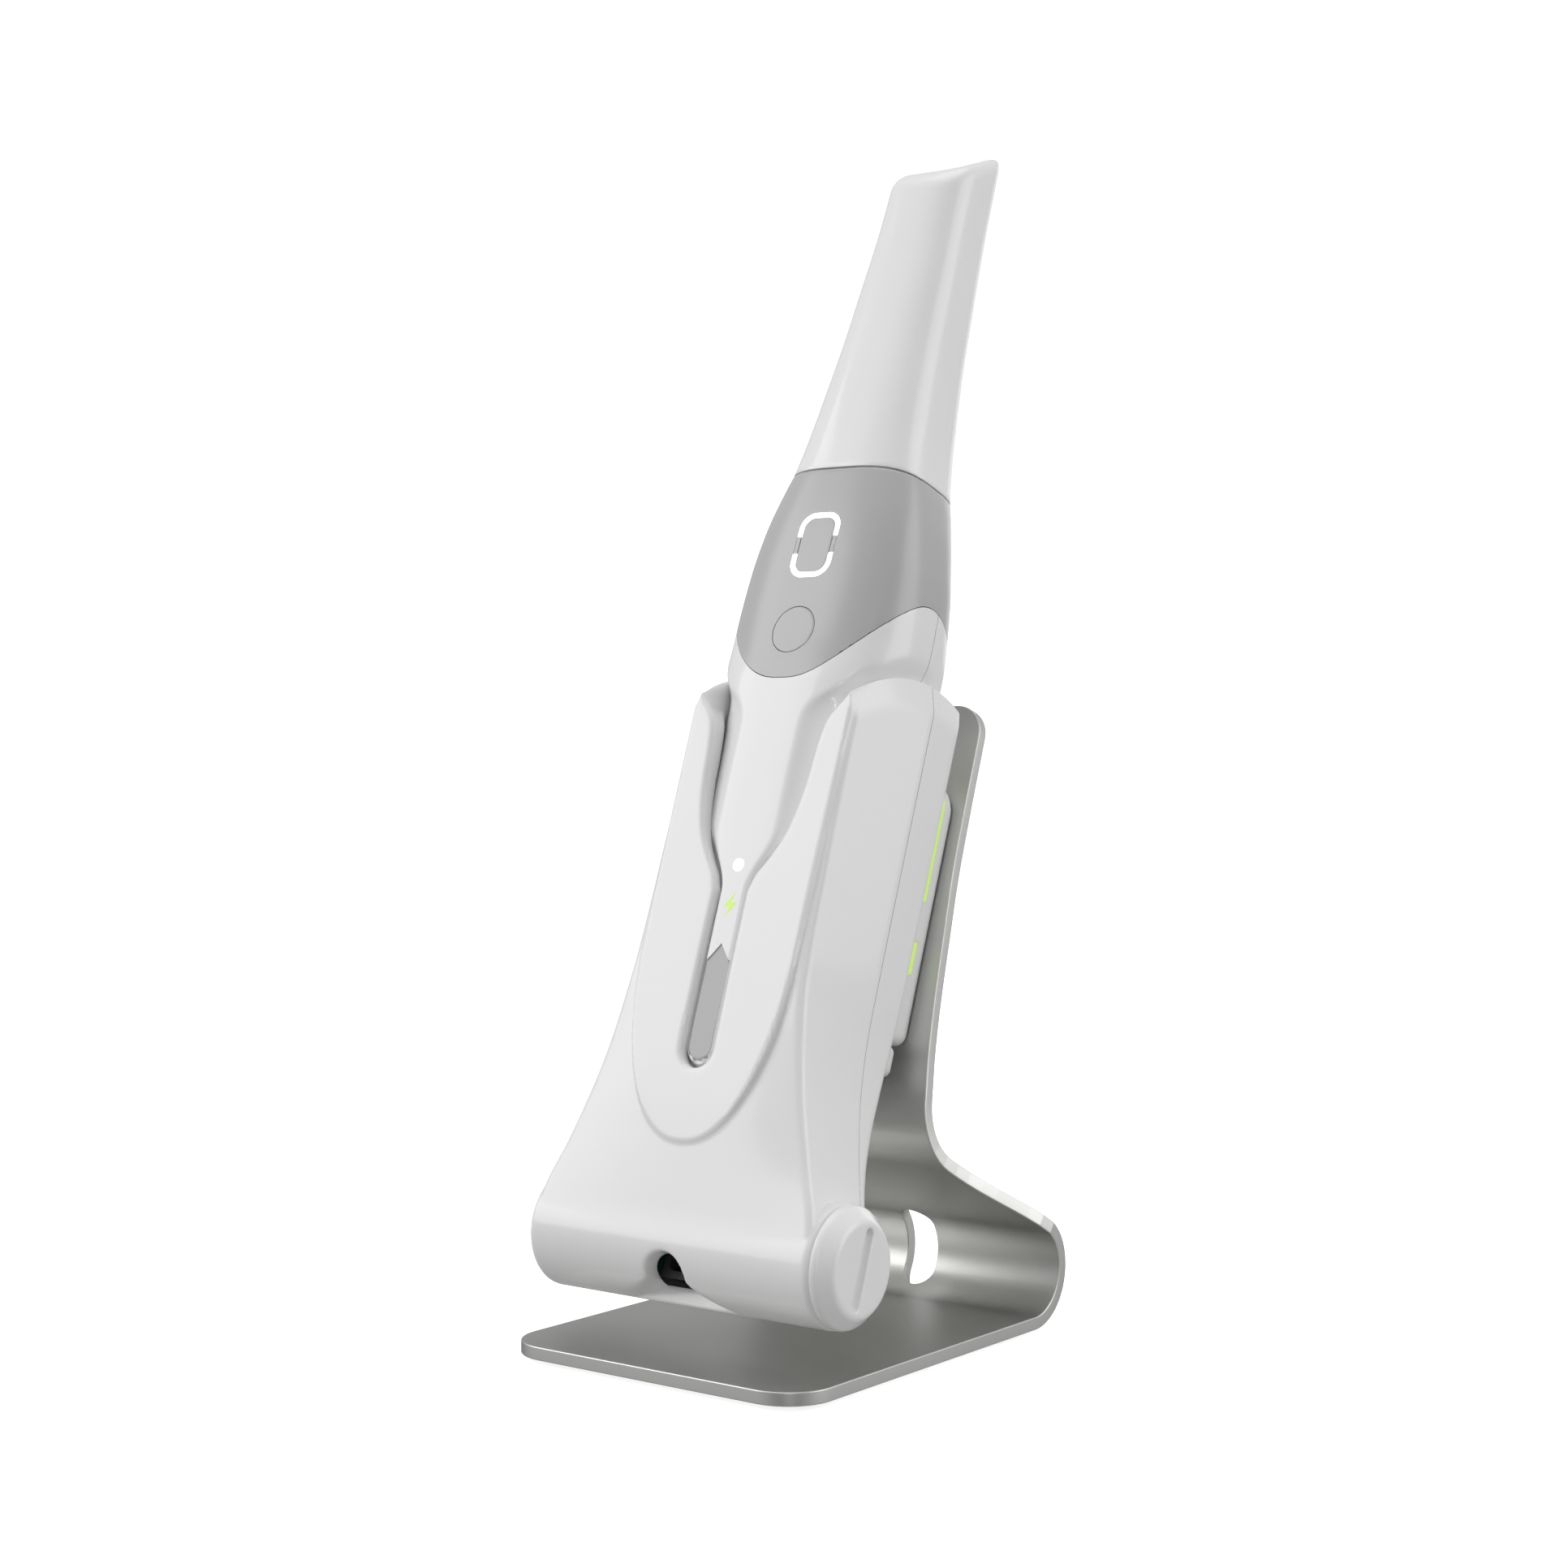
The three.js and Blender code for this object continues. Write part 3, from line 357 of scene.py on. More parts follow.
NOTCH_FLARE = {"wide": 9, "high": 4.4, "power": 1.6}


class Skirt:
    """The cradle's flared body, as functions of the height u."""

    front = curve((0, FOOT_RADIUS), (4, 13.5), (10, 14.1), (20, 15.1), (30, 15.8), (50, 16.1), (140, 16.1))
    ridge = curve(
        (0, 38.6), (8.3, 37.2), (16.5, 34.1), (27.6, 30.4), (34.4, 28.4),
        (41.8, 26.7), (49.8, 25.3), (57.4, 24.3), (70, 23.7), (100, 23.2), (140, 23.0),
    )
    ridge_depth = curve((0, 13.1), (16.5, 13.1), (27.6, 13.6), (41.8, 14.5), (57.4, 15.5), (140, 15.7))
    side = curve((0, 37.8), (8, 35.4), (17, 32.5), (29, 29.3), (41, 27.1), (55, 26.1), (140, 26))
    rear = curve((0, -13.3), (10, -13.4), (20, -14.3), (30, -16.7), (40, -19.3), (50, -20.7), (60, -21))


panel_face = curve((18, 15.4), (30, 16.2), (45, 16.6), (60, 16.8), (140, 16.8))
opening_half = curve(
    (76, 4.3), (80, 5.8), (83.5, 8.2), (89, 11.2), (95, 13), (101.5, 14.1),
    (110, 14.8), (116, 16), (119, 18), (122, 20.2), (126, 20.7), (150, 20.7),
)


def crest(n):
    """Height of the arms' top edge, an arch that is highest at the seam."""
    return CREST_TOP - CREST_CURVE * (n - SEAM) ** 2


class Grip:
    """The scanner's slim lower part, as functions of the height u."""

    half = curve((GRIP_START, 15.4), (45, 17.2), (70, 18.8), (100, 20.3), (140, 21))
    front = curve((GRIP_START, 12.2), (60, 13), (90, 13.4), (140, 13.4))
    rear = curve((GRIP_START, -10.4), (35, -12.9), (45, -15.2), (60, -16.5), (100, -17.6), (140, -18.4))


def grip(x, n, u, grow=0.0):
    """Distance outwards from that part, made larger by grow. Below its start it goes straight down."""
    u = np.maximum(u, GRIP_START)
    return rounded_box(x, n, Grip.half(u), Grip.front(u), Grip.rear(u)) - grow


def panel_outline(x, u):
    """Distance outwards from the raised front panel: a half ellipse below, straight sides above."""
    half = PANEL_HALF + 0.014 * np.maximum(u - PANEL_ROUND, 0)
    down = np.maximum(PANEL_ROUND - u, 0) / PANEL_DROP
    q = ((np.abs(x) / half) ** 2.2 + down**2.1 + 1e-9) ** (1 / 2.1)
    slope = np.hypot(np.abs(x) / half**2, down / PANEL_DROP) / np.maximum(q, 0.05)
    return (q - 1) / np.maximum(slope, 0.02)


def cradle_outside(x, n, u):
    """The flared body on its round foot, with the raised panel and the arms' bevelled crest."""
    ax = np.abs(x)
    ridge, depth, side = Skirt.ridge(u), Skirt.ridge_depth(u), Skirt.side(u)
    back = np.clip((depth - n) / (depth + 8), 0, 1.6)
    across = ridge + (side - ridge) * back - 1.4 * np.maximum(back - 1, 0)
    front = Skirt.front(u) - (Skirt.front(u) - depth) * (ax / ridge) ** 2
    body = both(ax - across, n - front, 1.8)
    body = both(body, Skirt.rear(u) - n, 4.0)
    body = both(body, -u - 0.4, 0.4)
    foot = both(np.hypot(u, n) - FOOT_RADIUS, ax - FOOT_HALF, 1.6)
    body = either(body, foot)
    panel = both(panel_outline(x, u), n - panel_face(u), 0.9)
    body = either(body, both(panel, 8 - n), 0.5)
    drop = BEVEL_STEEP * np.maximum(CREST_BEVEL - (across - ax), 0)
    tilt = np.where(drop > 0, math.hypot(1, BEVEL_STEEP), 1.1)
    return both(body, (u - crest(n) + drop) / tilt, 0.4)


def keyhole(x, n, u):
    """The front opening: a slot below that flares between the arms."""
    slot = np.hypot(x, np.minimum(u - SLOT_START, 0)) - SLOT_HALF
    return both(np.where(u > SLOT_END, beside(opening_half, x, u), slot), OPENING_DEPTH - n)


def lead_notch(x, n, u):
    """The arch in the foot's front, which flares towards the underside."""
    below = np.maximum(NOTCH_CENTRE - u, 0)
    half = NOTCH_HALF + NOTCH_FLARE["wide"] * (below / NOTCH_FLARE["high"]) ** NOTCH_FLARE["power"]
    steep = 1 + 3 * ramp(below, 0, 3)
    round_top = np.hypot(x, np.maximum(u - NOTCH_CENTRE, 0)) - NOTCH_HALF
    arch = np.where(u > NOTCH_CENTRE, round_top, (np.abs(x) - half) / steep)
    return both(arch, 1 - n)


def cradle(x, n, u):
    """The cradle with its pocket, opening, foot bore and notch cut out."""
    body = cradle_outside(x, n, u)
    room = POCKET_ROOM + 0.3 * ramp(u, 120, CREST_TOP)
    pocket = both(grip(x, n, u, room), POCKET_FLOOR - u, 1.0)
    body = without(body, pocket, 0.6)
    body = without(body, keyhole(x, n, u), 1.3)
    bore = both(np.hypot(u, n) - BORE, BORE_END - x)
    body = without(body, bore)
    return without(body, lead_notch(x, n, u), 0.8)


def build_cradle():
    """The two shells of the cradle, on either side of its parting line."""
    low, high, step = (-39.5, -22, -14.5), (39.5, 18, 134.5), 0.65
    form(
        "cradle_front", lambda x, n, u: both(cradle(x, n, u), SEAM + HAIRLINE - n),
        (low[0], SEAM - 1, low[2]), high, step, "white_plastic", "stand", replaces=["cradle_front_shell"],
    )
    form(
        "cradle_rear", lambda x, n, u: both(cradle(x, n, u), n - SEAM + HAIRLINE),
        low, (high[0], SEAM + 1, high[2]), step, "white_plastic", "stand", replaces=["cradle_rear_shell"],
    )


build_cradle()

# ------------------------------------------------------------------ coin cap

CAP_RADIUS = 13.2
CAP_GAP = 0.3
CAP_RISE = 4.3
CAP_RIM = 1  # straight height of the cap's edge below its cone
CAP_DISC = 10.1
COIN_SLOT = {"half": 1.2, "long": 8.75, "corner": 1.19, "deep": 1.8}


def coin_cap(x, n, u):
    """A cone with a flat top, crossed by a slot for a coin."""
    rise = x - FOOT_HALF - CAP_GAP
    reach = np.hypot(n, u)
    cone = (reach - CAP_RADIUS + (rise - CAP_RIM) * (CAP_RADIUS - CAP_DISC) / (CAP_RISE - CAP_RIM)) / 1.35
    body = both(both(cone, reach - CAP_RADIUS, 0.6), rise - CAP_RISE, 0.7)
    body = both(body, -rise)
    outline = oblong(n, u, COIN_SLOT["half"], COIN_SLOT["long"], COIN_SLOT["corner"])
    slot = both(outline, CAP_RISE - COIN_SLOT["deep"] - rise, 1.2)
    return without(body, slot, 0.5)


form("cap_face", coin_cap, (38.5, -14, -14), (43.6, 14, 14), 0.35, "white_plastic", "coin_cap",
     replaces=["coin_cap"])

# ------------------------------------------------------------------ light module

MODULE_HALF = 20
MODULE_BOTTOM, MODULE_TOP = 54, 118
MODULE_FRONT, MODULE_BACK = -21.3, -33.6
MODULE_CORNER, MODULE_LOWER_CORNER = 8, 2.5
MODULE_ROUND = 3.2
LIGHT_DEPTH = -28
LIGHT_HALF = 0.9
LIGHT_INSET, LIGHT_THICK = 1.2, 1.27
LONG_START = 87.8
SHORT_AT, SHORT_HALF = 74.25, 3.85
HANGER_AT, HANGER_HALF, HANGER_DEPTH = 49.8, 3.8, -25.4


def module_outline(x, u):
    """Distance outwards from the module's outline, which is rounder at the top."""
    middle, tall = (MODULE_TOP + MODULE_BOTTOM) / 2, (MODULE_TOP - MODULE_BOTTOM) / 2
    corner = np.where(u > middle, MODULE_CORNER, MODULE_LOWER_CORNER)
    return oblong(x, u - middle, MODULE_HALF, tall, corner)


def long_band(x, u):
    """The band of the long light strips, round the module's upper corners."""
    return both(LONG_START - u, MODULE_HALF - MODULE_CORNER - np.abs(x))


def short_band(x, u):
    """The band of the short light strips, on the module's sides."""
    return both(np.abs(u - SHORT_AT) - SHORT_HALF, -np.abs(x))


def light_strip(x, n, u, band, grow=0.0):
    """A lens that lies along the module's rim within a band, almost flush with it."""
    rim = module_outline(x, u)
    section = both(np.abs(rim + LIGHT_INSET) - LIGHT_THICK, np.abs(n - LIGHT_DEPTH) - LIGHT_HALF - grow)
    return both(section, band(x, u) - grow, 0.2)


def module_housing(x, n, u):
    """The module's rounded housing with a seat for each light strip."""
    middle, thick = (MODULE_FRONT + MODULE_BACK) / 2, (MODULE_FRONT - MODULE_BACK) / 2
    body = both(module_outline(x, u), np.abs(n - middle) - thick, MODULE_ROUND)
    for band in (long_band, short_band):
        body = without(body, light_strip(x, n, u, band, 0.1))
    return body


def build_module():
    """The light module behind the cradle, its light strips and the block that the cradle hangs on."""
    form(
        "module_body", module_housing, (-20.5, -34, 53.5), (20.5, -21, 118.5), 0.6, "pearl_plastic", "stand",
        replaces=["module_housing"],
    )
    for name, band, low, high in (("long", long_band, 87, 118.5), ("short", short_band, 70, 78.5)):
        for label, side in (("right", 1), ("left", -1)):
            form(
                f"{name}_strip_{label}",
                lambda x, n, u: both(light_strip(x, n, u, band), -side * x),
                (min(side * 10, side * 20.2), -29.2, low), (max(side * 10, side * 20.2), -26.8, high),
                0.3, "green_light", "stand", replaces=[f"{name}_light_{label}"],
            )
    form(
        "hanger",
        lambda x, n, u: both(
            oblong(x, u - HANGER_AT, MODULE_HALF, HANGER_HALF, 2), np.abs(n - HANGER_DEPTH) - 4.1, 1.6
        ),
        (-20.5, -30, 45.5), (20.5, -21, 54), 0.6, "pearl_plastic", "stand", replaces=["hanger_block"],
    )


build_module()

# ------------------------------------------------------------------ scanner


class Hull:
    """The scanner's full outer form, as functions of the height u."""

    half = curve(
        (27, 21), (100, 23), (120, 23), (138, 23.7), (146, 23.7), (155, 23.2), (160, 22.6), (168, 21.2),
        (176, 19.1), (180, 17.9), (190, 16.2), (200, 15.1), (215, 13.7), (230, 12.8), (245, 11.9),
        (255, 11.5), (280, 11),
    )
    front = curve(
        (27, 14.6), (40, 15.4), (60, 15.7), (126, 16), (138, 15), (160, 13.9), (168, 13.3), (180, 12),
        (190, 11), (200, 10), (215, 8.5), (230, 7.2), (245, 6), (280, 4.6),
    )
    rear = curve(
        (120, -22.6), (138, -22.4), (146, -20.9), (155, -19.4), (162, -18.1), (170, -17.3), (180, -17.2),
        (200, -16.2), (230, -15.5), (280, -15.5),
    )


def hull(x, n, u):
    """Distance outwards from that form."""
    return rounded_box(x, n, Hull.half(u), Hull.front(u), Hull.rear(u))


SPINE_START = 40.9
SPINE_END = 60  # from here up the spine follows spine_half
SPINE_NARROW, SPINE_WIDE = 3.7, 8.3
SPINE_FLARE = (76, 90)
SPINE_DEPTH = 8
STEP_TOP = 137.7
SCANNER_SEAM = -6.5
COLLAR_TOP = 179.6
COLLAR_LOW = {"front": 126.3, "side": 150, "rear": 133}
COLLAR_TURN = 100  # degrees round from the front where the lower edge is highest
POWER_AT, POWER_RADIUS = 138.3, 5.7
SCAN_AT = 159.6
RING_HALF = (5.6, 8.1)
RING_STROKE = 1.0
RING_CORNER = 3.9
RING_BREAK = 2.2
RING_REAR, POWER_REAR = 11, 12  # depth of the buttons' rear faces
TRAVEL = 1.0  # free depth behind each button
PROUD = 0.05  # how far lenses and buttons stand out of the shell
INSERT_DEPTH, INSERT_THICK = 14.9, 0.55
INSERT_WELL = INSERT_DEPTH - 0.6
INSERT_HALF, INSERT_START, INSERT_SHOULDER, INSERT_POINT = 3.1, 41, 59.8, 4
STATUS_AT, STATUS_RADIUS = 82, 1.35
BOLT_AT = 72.8
BOLT = [(0.9, 3), (-1.6, -0.5), (-0.1, -0.5), (-0.9, -3), (1.6, 0.5), (0.1, 0.5)]


def spine_half(u):
    """Half the width of the raised spine, which widens upwards."""
    return SPINE_NARROW + (SPINE_WIDE - SPINE_NARROW) * ramp(u, *SPINE_FLARE)


def step_line(x, n):
    """Height where the grip steps in below the head: highest at the sides, lower at the front."""
    side = STEP_TOP - np.where(n > -4.5, 0.029, 0.053) * (n + 4.5) ** 2
    return side - 0.5 * np.maximum(20.5 - np.abs(x), 0) * ramp(n, 8, 13)


def collar_edge(x, n):
    """Height of the collar's lower edge: low at the front and rear, high at the sides."""
    turn = np.degrees(np.abs(np.arctan2(x, n)))
    ahead = np.pi / 2 * np.minimum(turn / COLLAR_TURN, 1)
    behind = np.pi / 2 * np.maximum(turn - COLLAR_TURN, 0) / (180 - COLLAR_TURN)
    front = COLLAR_LOW["front"] + (COLLAR_LOW["side"] - COLLAR_LOW["front"]) * np.sin(ahead) ** 3
    rear = COLLAR_LOW["rear"] + (COLLAR_LOW["side"] - COLLAR_LOW["rear"]) * np.cos(behind) ** 3
    return np.where(turn < COLLAR_TURN, front, rear)


def below_collar(x, n, u):
    """Distance upwards past the collar's lower edge."""
    return (u - collar_edge(x, n)) / 1.25


def insert_outline(x, u):
    """Round at the bottom, pointed at the top."""
    bottom = np.hypot(x, np.minimum(u - INSERT_START, 0)) - INSERT_HALF
    slant = math.hypot(INSERT_HALF, INSERT_POINT)
    point = ((np.abs(x) - INSERT_HALF) * INSERT_POINT + (u - INSERT_SHOULDER) * INSERT_HALF) / slant
    return both(bottom, point)


def body(x, n, u):
    """The grip below, the raised spine on its front, and the wide head above them."""
    slim = both(grip(x, n, u), GRIP_START - u, 4)
    spine_foot = np.hypot(x, np.minimum(u - SPINE_START, 0)) - SPINE_NARROW
    spine = both(np.where(u > SPINE_END, beside(spine_half, x, u), spine_foot), SPINE_DEPTH - n)
    away = both(either(spine, (step_line(x, n) - u) / 1.1, 4), 0, 0.8)
    front_step = (3 - 2.5 * ramp(u, 76, 92)) * away
    side_step = 0.13 * away + 0.045 * away**2
    step = side_step + (front_step - side_step) * ramp(n, 7, 14)
    shell = either(slim, hull(x, n, u) + step, 1 + 1.2 * ramp(u, 78, 96))
    shell = both(shell, below_collar(x, n, u) + COLLAR_GAP)
    shell = without(shell, both(insert_outline(x, u) - 0.12, INSERT_WELL - n))
    return without(shell, both(np.hypot(x, u - STATUS_AT) - STATUS_RADIUS - 0.1, INSERT_WELL - n))


def collar(x, n, u):
    """The collar with a well for each button."""
    shell = both(hull(x, n, u), COLLAR_GAP - below_collar(x, n, u))
    shell = both(shell, u - COLLAR_TOP, 0.5)
    shell = without(shell, both(scan_outline(x, u) - 0.1, RING_REAR - TRAVEL - n))
    return without(shell, both(np.hypot(x, u - POWER_AT) - POWER_RADIUS - 0.1, POWER_REAR - TRAVEL - n))


def scan_outline(x, u, grow=0.0):
    """Outline of the light ring's outer edge, moved outwards by grow."""
    return oblong(x, (u - SCAN_AT) * 1.002, RING_HALF[0] + grow, RING_HALF[1] + grow, RING_CORNER + grow)


def build_scanner():
    """The scanner's shells and collar, and what is let into them."""
    low, high, step = (-24.5, -23.5, 26), (24.5, 17, 152), 0.7
    form(
        "body_front", lambda x, n, u: both(body(x, n, u), SCANNER_SEAM + HAIRLINE - n),
        (low[0], SCANNER_SEAM - 1, low[2]), high, step, "white_plastic", "scanner",
        replaces=["body_front_shell"],
    )
    form(
        "body_rear", lambda x, n, u: both(body(x, n, u), n - SCANNER_SEAM + HAIRLINE),
        low, (high[0], SCANNER_SEAM + 1, high[2]), step, "white_plastic", "scanner",
        replaces=["body_rear_shell"],
    )
    form("collar_shell", collar, (-24.5, -23.5, 124), (24.5, 17, 180.5), 0.6, "grey_plastic", "scanner",
         replaces=["collar"])

    def skin_over(x, n, u, proud, rear=RING_REAR):
        return both(hull(x, n, u) - proud, rear - n)

    def ring_band(x, u):
        return both(scan_outline(x, u), -scan_outline(x, u, -RING_STROKE))

    def ring(x, n, u):
        band = both(ring_band(x, u), skin_over(x, n, u, PROUD))
        return both(band, RING_BREAK - np.abs(u - SCAN_AT), 0.3)

    box = (-7, 10.5, SCAN_AT - 9.5), (7, 16, SCAN_AT + 9.5)
    for name, side in (("upper", 1), ("lower", -1)):
        form(
            f"ring_{name}", lambda x, n, u: both(ring(x, n, u), side * (SCAN_AT - u)),
            *box, 0.3, "white_light", "scanner", replaces=[f"ring_light_{name}"],
        )
    form(
        "ring_filler",
        lambda x, n, u: both(
            both(ring_band(x, u), skin_over(x, n, u, 0)), np.abs(u - SCAN_AT) - RING_BREAK + 0.1
        ),
        *box, 0.3, "grey_plastic", "scanner",
    )
    form(
        "scan_key",
        lambda x, n, u: both(scan_outline(x, u, -RING_STROKE - 0.15), skin_over(x, n, u, PROUD), 0.3),
        *box, 0.3, "grey_plastic", "scan_button", replaces=["scan_button"],
    )
    form(
        "power_key",
        lambda x, n, u: both(
            np.hypot(x, u - POWER_AT) - POWER_RADIUS, skin_over(x, n, u, PROUD, POWER_REAR), 0.3
        ),
        (-6.5, 11.5, POWER_AT - 6.5), (6.5, 17, POWER_AT + 6.5), 0.35, "grey_plastic", "power_button",
        replaces=["power_button"],
    )
    form(
        "insert",
        lambda x, n, u: both(
            both(insert_outline(x, u), np.abs(n - INSERT_DEPTH) - INSERT_THICK), hull(x, n, u) + 0.1, 0.3
        ),
        (-3.6, 14, 37.5), (3.6, 16, 64.5), 0.3, "pale_grey_plastic", "scanner", replaces=["name_insert"],
    )
    form(
        "status_dot",
        lambda x, n, u: both(np.hypot(x, u - STATUS_AT) - STATUS_RADIUS, skin_over(x, n, u, PROUD, 13), 0.3),
        (-2, 12.5, STATUS_AT - 2), (2, 16.5, STATUS_AT + 2), 0.2, "white_light", "scanner",
        replaces=["status_lens"],
    )
    form(
        "charge_symbol",
        lambda x, n, u: both(polygon(x, u - BOLT_AT, BOLT), skin_over(x, n, u, PROUD, 15)),
        (-1.8, 14.5, BOLT_AT - 3.2), (1.8, 16.5, BOLT_AT + 3.2), 0.15, "green_light", "scanner",
        replaces=["charge_symbol_lens"],
    )


build_scanner()

# ------------------------------------------------------------------ tip

TIP_START = 179.9
TIP_FRONT, TIP_REAR = 260, 275.5
TIP_DEPTH = 20.5
TIP_WALL = 1.3
WINDOW = {"at": 257.5, "depth": -10, "half": 7.5, "tall": 8.5, "corner": 2}


def beyond_tip(n, u):
    """Distance past the tip's slanted end."""
    slope = (TIP_REAR - TIP_FRONT) / TIP_DEPTH
    return (u - TIP_FRONT - (5 - n) * slope) / math.hypot(1, slope)


def tip(x, n, u):
    """The hollow tip with its window, which faces rearwards."""
    outside = both(both(hull(x, n, u), beyond_tip(n, u), 3.5), TIP_START - u, 0.5)
    inside = both(hull(x, n, u) + TIP_WALL, beyond_tip(n, u) + 2, 2)
    outline = oblong(x, u - WINDOW["at"], WINDOW["half"], WINDOW["tall"], WINDOW["corner"])
    window = both(outline, n - WINDOW["depth"])
    return without(without(outside, inside), window, 0.5)


form("tip_shell", tip, (-19, -18, 179), (19, 13, 277), 0.6, "white_plastic", "tip", replaces=["tip_sleeve"])

# ------------------------------------------------------------------ bent plate

SHEET = 3
BASE_HALF, BASE_LENGTH, BASE_CORNER = 41.4, 90.9, 11
REAR_BEND, REAR_TURN = 11.75, math.radians(146.5)
RAMP_LENGTH = 28.9
KNEE_BEND, KNEE_TURN = 13.5, math.radians(76.5)
RAMP_START = BASE_LENGTH + REAR_BEND * REAR_TURN
KNEE_START = RAMP_START + RAMP_LENGTH
KNEE_END = KNEE_START + KNEE_BEND * KNEE_TURN
PLATE_LENGTH = 262.1
UPRIGHT_CORNER = 7.5
EDGE = 0.3
BEND_STEP = 0.75
LEAD_HOLE = {"x": 3, "half": 4.2, "low": 3.6, "high": 24}

plate_half = curve(
    (0, 41.4), (60, 41.4), (116, 41.4), (121.5, 41.1), (127.7, 39.1), (135.4, 35.1), (143, 31.7), (152, 29.4),
    (160, 28.2), (168, 27.2), (177.5, 25.7), (190, 24.4), (206, 23.3), (223, 22.3), (254, 22), (263, 22),
)


def along_plate(s):
    """Place (y, z) and heading of the sheet's middle at path length s."""
    y, z, heading = 0.0, SHEET / 2, 0.0
    for length, turn in (
        (BASE_LENGTH, 0), (REAR_BEND * REAR_TURN, REAR_TURN), (RAMP_LENGTH, 0),
        (KNEE_BEND * KNEE_TURN, -KNEE_TURN), (PLATE_LENGTH, 0),
    ):
        part = min(s, length)
        bend = turn * part / length
        chord = part if abs(bend) < 1e-9 else 2 * part / bend * math.sin(bend / 2)
        y += chord * math.cos(heading + bend / 2)
        z += chord * math.sin(heading + bend / 2)
        heading += bend
        s -= part
        if s <= 0:
            break
    return y, z, heading


def on_plate(x, s, t):
    """Where a point of the flat sheet lies once it is bent."""
    y, z, heading = along_plate(max(s, 0))
    return (x, y - t * math.sin(heading), z + t * math.cos(heading))


def plate_outline():
    """The right edge of the flat sheet from front to top, as (x, path length)."""
    right = []
    turns = [math.pi / 2 * i / 12 for i in range(13)]
    for a in turns:
        right.append((BASE_HALF - BASE_CORNER * (1 - math.sin(a)), BASE_CORNER * (1 - math.cos(a))))
    right += [(float(plate_half(s)), s) for s in range(16, int(PLATE_LENGTH - UPRIGHT_CORNER), 4)]
    top = float(plate_half(PLATE_LENGTH))
    for a in turns:
        right.append(
            (top - UPRIGHT_CORNER * (1 - math.cos(a)), PLATE_LENGTH - UPRIGHT_CORNER * (1 - math.sin(a)))
        )
    return right + [(-x, s) for x, s in reversed(right)]


def hole_outline():
    """The lead's hole: a stadium seen from behind, unrolled onto the sheet."""
    lengths = np.linspace(BASE_LENGTH, RAMP_START + 15, 200)
    rise = np.array([along_plate(s)[1] for s in lengths])
    points = []
    for i in range(48):
        a = 2 * math.pi * i / 48
        shift = (LEAD_HOLE["high"] - LEAD_HOLE["low"]) / 2 - LEAD_HOLE["half"]
        z = (LEAD_HOLE["high"] + LEAD_HOLE["low"]) / 2 + math.copysign(shift, math.sin(a))
        z += LEAD_HOLE["half"] * math.sin(a)
        points.append((LEAD_HOLE["x"] + LEAD_HOLE["half"] * math.cos(a), float(np.interp(z, rise, lengths))))
    return points


def eased(outline, amount):
    """The outline moved inwards (to the left of its direction)."""
    points = np.array(outline)
    ahead = np.roll(points, -1, 0) - points
    ahead /= np.linalg.norm(ahead, axis=1)[:, None]
    normal = np.stack([-ahead[:, 1], ahead[:, 0]], 1)
    normal = normal + np.roll(normal, 1, 0)
    normal /= (normal**2).sum(1)[:, None] / 2
    return points + normal * amount


def build_plate():
    """The flat sheet with eased edges, cut across where it bends, then bent."""
    flat = bmesh.new()
    rims = {1: [], -1: []}
    for outline in (plate_outline(), hole_outline()[::-1]):
        turns = [math.radians(30 * i) for i in range(4)]
        levels = [(EDGE * (1 - math.sin(a)), SHEET / 2 - EDGE * (1 - math.cos(a))) for a in turns]
        levels += [(inward, -height) for inward, height in reversed(levels)]
        loops = []
        for inward, height in levels:
            moved = eased(outline, inward)
            loops.append([flat.verts.new((x, s, height)) for x, s in moved])
        for low, high in zip(loops, loops[1:]):
            for i in range(len(low)):
                j = (i + 1) % len(low)
                flat.faces.new((low[i], high[i], high[j], low[j]))
        rims[1].append(loops[0])
        rims[-1].append(loops[-1])
    for side in (1, -1):
        edges = []
        for loop in rims[side]:
            edges += [flat.edges.get(pair) for pair in zip(loop, loop[1:] + loop[:1])]
        bmesh.ops.triangle_fill(flat, edges=edges, use_beauty=True, use_dissolve=False, normal=(0, 0, side))
    cuts = [
        *np.arange(BASE_LENGTH, RAMP_START, BEND_STEP), *np.arange(RAMP_START + 3, KNEE_START, 4),
        *np.arange(KNEE_START, KNEE_END + 0.5, BEND_STEP), *np.arange(KNEE_END + 4, PLATE_LENGTH - 6, 6),
    ]
    for s in cuts:
        bmesh.ops.bisect_plane(flat, geom=flat.verts[:] + flat.edges[:] + flat.faces[:], dist=1e-4,
                               plane_co=(0, float(s), 0), plane_no=(0, 1, 0))
    bmesh.ops.recalc_face_normals(flat, faces=flat.faces)
    vertex = [on_plate(*v.co) for v in flat.verts]
    flat.verts.index_update()
    faces = [[v.index for v in face.verts] for face in flat.faces]
    flat.free()
    corner = Matrix.Translation((MIDDLE_X, PLATE_LOW.y, PLATE_LOW.z)) @ Matrix.Scale(MM, 4)
    sheet = make("bent_plate", vertex, faces, corner, "blasted_aluminium", "stand", 40)
    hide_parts("stand_plate")
    even = sheet.modifiers.new("even shading", "WEIGHTED_NORMAL")
    even.keep_sharp = True


build_plate()

# ------------------------------------------------------------------ CAD nodes that stay

for node, thing in frame["nodes"].items():
    slot = next(s["material_slot"] for s in frame["record"]["subparts"] if s["node"] == node)
    thing.data.materials.clear()
    thing.data.materials.append(MATERIALS[slot])

# ------------------------------------------------------------------ floor, light and camera


